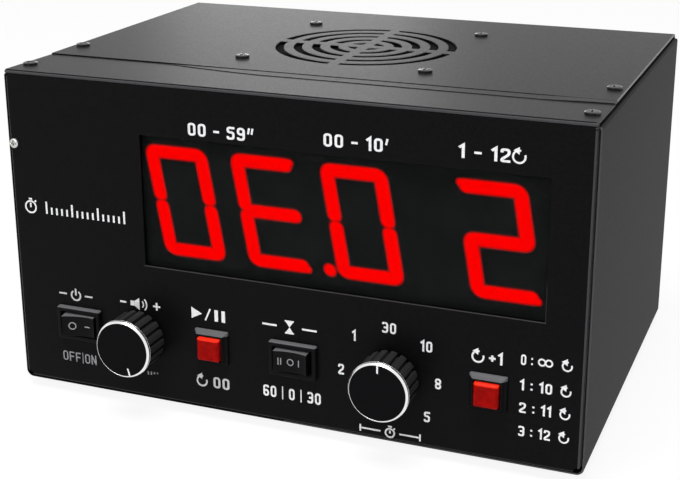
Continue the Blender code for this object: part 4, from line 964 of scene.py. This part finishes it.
def rotary_knob(name, body, centre_x, pointer):
    """A fluted knob with a collar, the bright chamfered ring on it, its face, and the white pointer."""
    centre = centre_x, CONTROL_Z
    plain = lambda *rings: [raised(circle(radius, FLUTE_STEPS, centre), "Y", y) for radius, y in rings]
    knob = plain((3.3, -13.0), (3.3, -6.8), (8.8, -6.8), (8.8, -2.5), (11.0, -2.5))
    knob += [fluted(KNOB_RADIUS - inset, y, centre_x) for inset, y in ((0.4, -2.5), (0.0, -2.9), (0.0, -14.1),
                                                                       (0.3, -14.45))]
    knob += plain((11.7, -14.55), (11.7, -14.8), (12.1, -14.85), (12.2, -14.95), (12.3, -15.05),
                  (12.3, -15.4), (12.3, -15.95), (11.5, -15.98), (11.4, -16.5))
    piece(f"{name}_fluted_knob", lofted(knob), KNOB_PLASTIC, (f"{name}_knob",), body=body,
          smooth=40)
    bands = [[(11.6, -16.0), (12.4, -16.0), (12.4, -16.2), (11.72, -16.98), (11.6, -16.98)],
             [(11.6, -15.1), (12.5, -15.1), (12.5, -15.35), (11.6, -15.35)]]
    rings = [turned(rounded_profile(band, 0.06, closed=True), 144, "Y", centre, True) for band in bands]
    piece(f"{name}_bright_ring", join(*rings), RING_METAL, (f"{name}_knob_ring",), body=body,
          smooth=50)
    disc = [(11.5, -16.4), (11.5, -16.8), (11.35, -16.9), (11.0, -16.9), (0.5, -16.9)]
    piece(f"{name}_knob_face", turned(disc, 96, "Y", centre), SHADED_KNOB_FACE, body=body, smooth=40)
    along = around(math.radians(pointer))
    points, faces = pen([along * 8.3, along * 11.5], 0.72)
    points = points * (1, 0.06, 1) + (centre_x, -16.97, CONTROL_Z)
    piece(f"{name}_pointer", (points, faces), INK, body=body)


def power_jack():
    """The barrel socket on the back."""
    end = case_box("power_jack")[1][1]
    profile = rounded_profile([(0.05, end - 1.2), (1.05, end - 1.5), (1.05, end - 10.0), (3.0, end - 10.0),
                               (3.0, end), (4.0, end), (4.0, BACK_FACE - 1.5), (5.75, BACK_FACE - 1.5),
                               (5.75, 158.5)], 0.25)
    piece("barrel_socket", turned(profile, 64, "Y", JACK), CHIP, ("power_jack",), smooth=40)


def slab(outline, holes=()):
    """A thin flat mark with thickness from 0 to 1 along Y, to be scaled where it is placed."""
    ends = 0.0, 1.0
    sides = [lofted([raised(loop, "Y", end) for end in ends], caps=False) for loop in (outline, *holes)]
    return join(*[flat(outline, holes, axis="Y", level=end) for end in ends], *sides)


def bar(x0, x1, z0, z1):
    return slab(rectangle(x0, x1, z0, z1))


def wedge(*corners):
    return slab(np.array(corners, float))


def hoop(x, z, radius, width, steps=40):
    return slab(circle(radius, steps, (x, z)), [circle(radius - width, steps, (x, z))])


def arc(x, z, radius, width, start, end):
    """A band along part of a circle, between two angles in degrees."""
    unit = around(np.radians(np.linspace(start, end, 28)))
    return slab(np.concatenate((unit * (radius + width / 2), unit[::-1] * (radius - width / 2))) + (x, z))


def pen(path, width, reach=0.0):
    """A line of even width along a path, with its corners rounded and its joints mitred."""
    path = rounded_profile(path, reach, 6) if reach else np.array(path, float)
    along = np.diff(path, axis=0)
    along /= np.linalg.norm(along, axis=1)[:, None]
    normal = np.stack((-along[:, 1], along[:, 0]), axis=1)
    before, after = np.concatenate((normal[:1], normal)), np.concatenate((normal, normal[-1:]))
    mitre = (before + after) / (1 + (before * after).sum(axis=1))[:, None] * width / 2
    return slab(np.concatenate((path + mitre, (path - mitre)[::-1])))


def shifted(shape, x=0.0, layer=0):
    """A mark moved along, and set a hair in front of the ones that it crosses."""
    return shape[0] + (x, -0.15 * layer, 0.0), shape[1]


GLYPH_WIDTH = {"1": 0.34, ":": 0.18, "|": 0.16, "-": 0.42, "+": 0.5, " ": 0.2}
WIDE_GLYPH = 0.56
GLYPH_GAP = 0.17


def glyph(sign, weight):
    """The strokes of one plain character that is 1 high, drawn with square-shouldered curves."""
    width = GLYPH_WIDTH.get(sign, WIDE_GLYPH)
    middle, low, right, high = width / 2, weight / 2, width - weight / 2, 1 - weight / 2
    strokes = {
        "1": [[(0.02, 0.76), (right, 0.97), (right, 0.0)]],
        "2": [[(low, 0.70), (low, high), (right, high), (right, 0.58), (low, 0.22), (low, low),
               (width, low)]],
        "3": [[(low, 0.78), (low, high), (right, high), (right, low), (low, low), (low, 0.22)],
              [(0.16, 0.5), (right, 0.5)]],
        "5": [[(width, high), (low, high), (low, 0.57), (right, 0.57), (right, low), (low, low),
               (low, 0.26)]],
        "9": [[(right, 0.62), (right, low), (low, low), (low, 0.24)]],
        "6": [[(low, 0.38), (low, high), (right, high), (right, 0.76)]],
        "F": [[(low, 0.0), (low, high), (width, high)], [(low, 0.5), (width * 0.88, 0.5)]],
        "N": [[(low, 0.0), (low, 1.0)], [(low, 0.93), (right, 0.07)], [(right, 0.0), (right, 1.0)]],
        "|": [[(middle, -0.08), (middle, 1.08)]],
        "-": [[(0.0, 0.48), (width, 0.48)]],
        "+": [[(0.0, 0.48), (width, 0.48)], [(middle, 0.22), (middle, 0.74)]],
        ":": [[(middle, foot), (middle, foot + weight)] for foot in (0.12, 0.62)],
    }
    rings = {"0": [(0, 1)], "O": [(0, 1)], "8": [(0, 0.56), (0.44, 1)], "6": [(0, 0.6)], "9": [(0.4, 1)]}
    corner = 0.0 if sign in "1FN|-+:" else 0.2
    thickness = weight * (0.6 if sign == "|" else 1.0)
    shapes = [pen(path, thickness, corner) for path in strokes.get(sign, [])]
    for bottom, top in rings.get(sign, []):
        centre, height = (middle, (top + bottom) / 2), top - bottom
        hole = rounded(width - 2 * weight, height - 2 * weight, 0.09, centre, 6)
        shapes.append(slab(rounded(width, height, 0.24, centre, 6), [hole]))
    return [shifted(shape, layer=number) for number, shape in enumerate(shapes)]


def text_shape(text, x, z, height, width=None, weight=0.17):
    """Plain characters centred on a spot, as tall and as wide as wanted."""
    parts, reach = [], 0.0
    for sign in text:
        parts += [shifted(part, reach) for part in glyph(sign, weight)]
        reach += GLYPH_WIDTH.get(sign, WIDE_GLYPH) + GLYPH_GAP
    points, faces = join(*parts)
    total = reach - GLYPH_GAP
    scale = np.array((width / total if width else height, 1.0, height))
    return (points - (total / 2, 0, 0.5)) * scale + (x, 0, z), faces


def turn_arrow(x, z, radius, width=0.75):
    """An open circle with an arrow head at its upper end."""
    head = wedge((x + 0.1, z + radius - 1.9), (x + 0.1, z + radius + 1.0), (x - 2.2, z + radius - 0.4))
    return [arc(x, z, radius - width / 2, width, 75, 380), shifted(head, layer=1)]


def stopwatch(x, z, radius):
    """A round dial with one hand and a crown on top."""
    return [hoop(x, z, radius, 0.7), bar(x - 0.35, x + 0.35, z - 0.2, z + radius - 1.1),
            bar(x - 0.8, x + 0.8, z + radius + 0.25, z + radius + 1.0),
            pen([(x + radius * 0.72, z + radius * 0.82), (x + radius * 0.95, z + radius * 1.05)], 0.7)]


def hourglass(x, z, half):
    """Two triangles, tip to tip, between two bars."""
    near, far = half * 0.7, half * 0.85
    return [wedge((x - near, z + half), (x, z), (x + near, z + half)),
            wedge((x - near, z - half), (x + near, z - half), (x, z)),
            bar(x - far, x + far, z + half, z + half + 0.6), bar(x - far, x + far, z - half - 0.6, z - half)]


def primes(x, z, count):
    """One stroke for minutes, or two for seconds, as on a clock."""
    return [pen([(x + 1.5 * n - 0.35, z + 0.3), (x + 1.5 * n + 0.15, z + 2.7)], 0.85) for n in range(count)]


def printed(name, *shapes, ink=INK):
    """Ink on the front face, 0.05 mm thick."""
    points, faces = join(*shapes)
    piece(name, (points * (1, 0.05, 1) - (0, 0.06, 0), faces), ink)


def prints():
    """Plain numbers and simple signs in light ink, where the panel is marked."""
    printed("seconds_range", text_shape("00 - 59", -26.4, 122.0, 5.2, 25.0), *primes(-12.2, 122.0, 2))
    printed("minutes_range", text_shape("00 - 10", 31.2, 123.3, 5.2, 24.0), *primes(44.9, 123.3, 1))
    printed("rounds_range", text_shape("1 - 12", 82.6, 124.3, 5.2, 19.5), *turn_arrow(95.6, 124.3, 2.7))

    ticks = [bar(x - 0.42, x + 0.42, 78.3, 83.7 if n % 5 == 0 else 81.3)
             for n, x in enumerate(np.linspace(-107.6, -70.1, 16))]
    printed("stopwatch_sign", *stopwatch(-115.4, 80.6, 2.9), *ticks)

    dashes = [bar(x - 1.9, x + 1.9, 42.75, 43.5) for x in (-102.3, -89.6)]
    printed("power_sign", arc(-95.9, 42.9, 2.2, 0.75, -235, 55), bar(-96.3, -95.5, 42.9, 46.0), *dashes,
            ink=FAINT_INK)
    printed("off_and_on", text_shape("OFF|ON", -96.0, 13.9, 4.4, 16.6, 0.13), ink=GREY_INK)

    speaker = [bar(-69.2, -67.4, 42.4, 44.6),
               wedge((-67.3, 42.4), (-64.9, 40.8), (-64.9, 46.2), (-67.3, 44.6)),
               *[arc(-64.9, 43.5, radius, 0.6, -45, 45) for radius in (1.9, 3.4)]]
    signs = [bar(*sides, 43.1, 43.9) for sides in ((-74.2, -71.2), (-58.4, -55.0))]
    signs += [bar(-57.1, -56.3, *ends) for ends in ((41.8, 43.05), (43.95, 45.2))]
    printed("volume_sign", *speaker, *signs)
    heights = zip((-62.3, -60.8, -59.3, -57.8), (1.7, 1.5, 1.1, 0.7))
    steps = [bar(x - 0.33, x + 0.33, 13.2 - height, 13.2) for x, height in heights]
    printed("volume_wedge", *steps, ink=GREY_INK)

    bars = [bar(x - 0.8, x + 0.8, 41.0, 46.0) for x in (-29.0, -25.8)]
    printed("pause_sign", wedge((-40.4, 41.0), (-35.6, 43.5), (-40.4, 46.0)),
            pen([(-34.1, 40.8), (-31.7, 46.2)], 0.7), *bars)
    printed("reset_sign", *turn_arrow(-36.6, 13.1, 2.6), text_shape("00", -27.6, 13.3, 5.0, 7.4),
            ink=FAINT_INK)
    lines = [bar(x - 3.2, x + 3.2, 43.1, 43.9) for x in (-5.0, 12.5)]
    printed("rest_sign", *hourglass(3.8, 43.5, 2.3), *lines)
    printed("rest_choices", text_shape("60 | 0 | 30", 4.4, 13.9, 5.0, 25.6))

    for text, x, z in (("2", 26.1, 28.9), ("1", 31.6, 44.3), ("30", 46.3, 49.8), ("10", 61.7, 44.4),
                       ("8", 66.7, 29.4), ("5", 62.4, 14.4)):
        printed(f"dial_number_{text}", text_shape(text, x, z, 4.5))
    ends = [bar(x, x + 0.7, 3.2, 6.2) for x in (34.0, 59.3)]
    ends += [bar(x, x + 8.2, 4.35, 5.05) for x in (34.8, 51.0)]
    printed("dial_sign", *stopwatch(47.0, 4.5, 2.2), *ends)
    printed("rounds_sign", *turn_arrow(82.4, 43.6, 2.6), text_shape("+1", 89.4, 43.8, 4.8, 5.4))

    endless = [hoop(107.3, 45.2, 1.6, 0.65), shifted(hoop(109.95, 45.2, 1.6, 0.65), layer=1)]
    choices = ("0 :", 45.2, 4.6), ("1 : 10", 34.7, 12.4), ("2 : 11", 25.3, 12.4), ("3 : 12", 15.4, 12.4)
    for number, (text, z, width) in enumerate(choices):
        printed(f"rounds_choice_{number}", text_shape(text, 99.2 + width / 2, z, 4.3, width),
                *turn_arrow(116.9, z - 0.1, 2.1, 0.65), *(endless if number == 0 else []))


def carried_over():
    """Gives the nodes that stay as they are their finishes."""
    finishes = {
        WINDOW_PLASTIC: ["window_filter"],
        DIGIT_FACE: ["display_frame"] + [f"display_module_{number}" for number in (1, 2, 3, 4)],
        BOARD: ["main_board"],
        BACKING: ["display_board"],
        NYLON: ["main_board_tray"],
        CHIP: ["controller_chip"],
        SLEEVE: ["supply_capacitor"],
        RIBBON: ["display_ribbon"],
        STEEL: ["speaker_frame", "volume_body", "selector_body"],
        PAPER: ["speaker_cone", "speaker_dust_cap"],
        FERRITE: ["speaker_magnet"],
        ZINC: ["volume_nut", "selector_nut", "power_jack_nut"],
        SHAFT_METAL: ["volume_shaft", "selector_shaft"],
    }
    for material, nodes in finishes.items():
        for node in nodes:
            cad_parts[node].material_slots[0].material = material


def camera():
    """The photograph's viewpoint, from the fit to the case's edges."""
    azimuth, elevation, roll = math.radians(21.7106), math.radians(17.5958), math.radians(-0.1979)
    ahead = Vector((-math.sin(azimuth) * math.cos(elevation), math.cos(azimuth) * math.cos(elevation),
                    -math.sin(elevation)))
    right = Vector((math.cos(azimuth), math.sin(azimuth), 0))
    up = right.cross(ahead)
    right, up = (right * math.cos(roll) + up * math.sin(roll), up * math.cos(roll) - right * math.sin(roll))
    data = bpy.data.cameras.new("camera")
    data.lens = 72.568
    data.sensor_width = 36
    data.shift_y = -0.0662
    data.clip_start, data.clip_end = 0.05, 20
    made = bpy.data.objects.new("camera", data)
    bpy.context.scene.collection.objects.link(made)
    spot = (np.array((211.344, -465.783, 261.107)) + CASE_ORIGIN) * MM
    made.matrix_world = Matrix.Translation(spot) @ Matrix((right, up, -ahead)).transposed().to_4x4()
    bpy.context.scene.camera = made


def area_light(name, spot, target, size, power):
    data = bpy.data.lights.new(name, "AREA")
    data.shape = "RECTANGLE"
    data.size, data.size_y = size
    data.energy = power
    made = bpy.data.objects.new(name, data)
    made.location = spot
    made.rotation_euler = (Vector(target) - Vector(spot)).to_track_quat("-Z", "Y").to_euler()
    bpy.context.scene.collection.objects.link(made)


def seen_white(tree, plain, white):
    """Mixes a shader with a white one for rays that end at the camera, or get there by gloss or glass."""
    path = tree.nodes.new("ShaderNodeLightPath")
    seen = path.outputs["Is Camera Ray"]
    for kind in ("Is Glossy Ray", "Is Transmission Ray"):
        either = tree.nodes.new("ShaderNodeMath")
        either.operation = "MAXIMUM"
        tree.links.new(seen, either.inputs[0])
        tree.links.new(path.outputs[kind], either.inputs[1])
        seen = either.outputs[0]
    mix = tree.nodes.new("ShaderNodeMixShader")
    for socket, source in zip(mix.inputs, (seen, plain, white)):
        tree.links.new(source, socket)
    return mix.outputs[0]


def white_surround():
    """A world that lights the object dimly and looks white."""
    world = bpy.data.worlds.new("studio")
    bpy.context.scene.world = world
    world.use_nodes = True
    tree = world.node_tree
    dim, white = tree.nodes["Background"], tree.nodes.new("ShaderNodeBackground")
    for background, strength in ((dim, 0.3), (white, 1.0)):
        background.inputs["Color"].default_value = (1, 1, 1, 1)
        background.inputs["Strength"].default_value = strength
    mixed = seen_white(tree, dim.outputs[0], white.outputs[0])
    tree.links.new(mixed, tree.nodes["World Output"].inputs["Surface"])


def pale_floor():
    """A floor that takes a faint shadow."""
    size = 4.0
    mesh = bpy.data.meshes.new("floor")
    mesh.from_pydata(raised(rectangle(-size, size, -size, size), "Z", 0.0).tolist(), [], [(0, 1, 2, 3)])
    floor = bpy.data.objects.new("floor", mesh)
    bpy.context.scene.collection.objects.link(floor)
    t = Tree("pale_floor")
    t.set(base_color=0.93, roughness=0.9, specular_ior_level=0.0)
    paint = t.shader.outputs[0]
    blend = t.node("ShaderNodeMixShader")
    for socket, source in zip(blend.inputs, (0.9, paint, t.node("ShaderNodeEmission").outputs[0])):
        t.feed(socket, source)
    t.feed(t.tree.nodes["Material Output"].inputs["Surface"], seen_white(t.tree, paint, blend.outputs[0]))
    mesh.materials.append(t.material)


base_shell()
front_panel()
back_panel()
top_cover()
stretched_cloth()
screws()
feet()
digits()
diffuser()
twin_bars = join(*[shifted(bar(-0.2, 0.2, -1.5, 1.5), x) for x in (-0.55, 0.55)])
rocker_switch("power", 9, [(-2.9, hoop(0, 0, 1.75, 0.5, 32)), (3.9, bar(-1.3, 1.3, -0.25, 0.25))])
rocker_switch("rest_time", 0, [(-4.7, twin_bars), (-0.1, hoop(0, 0, 1.5, 0.42, 32)),
                               (3.6, bar(-0.225, 0.225, -1.5, 1.5))])
for button in BUTTONS:
    push_button(button)
    coil_spring(button)
rotary_knob("volume", "volume_control", VOLUME_X, -74)
rotary_knob("selector", "rounds_selector", SELECTOR_X, 90)
power_jack()
prints()
carried_over()
camera()
white_surround()
pale_floor()
area_light("overhead", (0.0, -0.4, 1.5), (0, -0.05, 0), (0.9, 0.7), 27)
area_light("front_fill", (-0.3, -1.5, 0.8), (0, 0, 0.05), (1.2, 0.8), 8)
area_light("rear_left", (-0.85, 1.9, 0.55), (0, 0.0, 0.14), (0.5, 0.35), 2.0)
bpy.context.scene.view_settings.view_transform = "Standard"
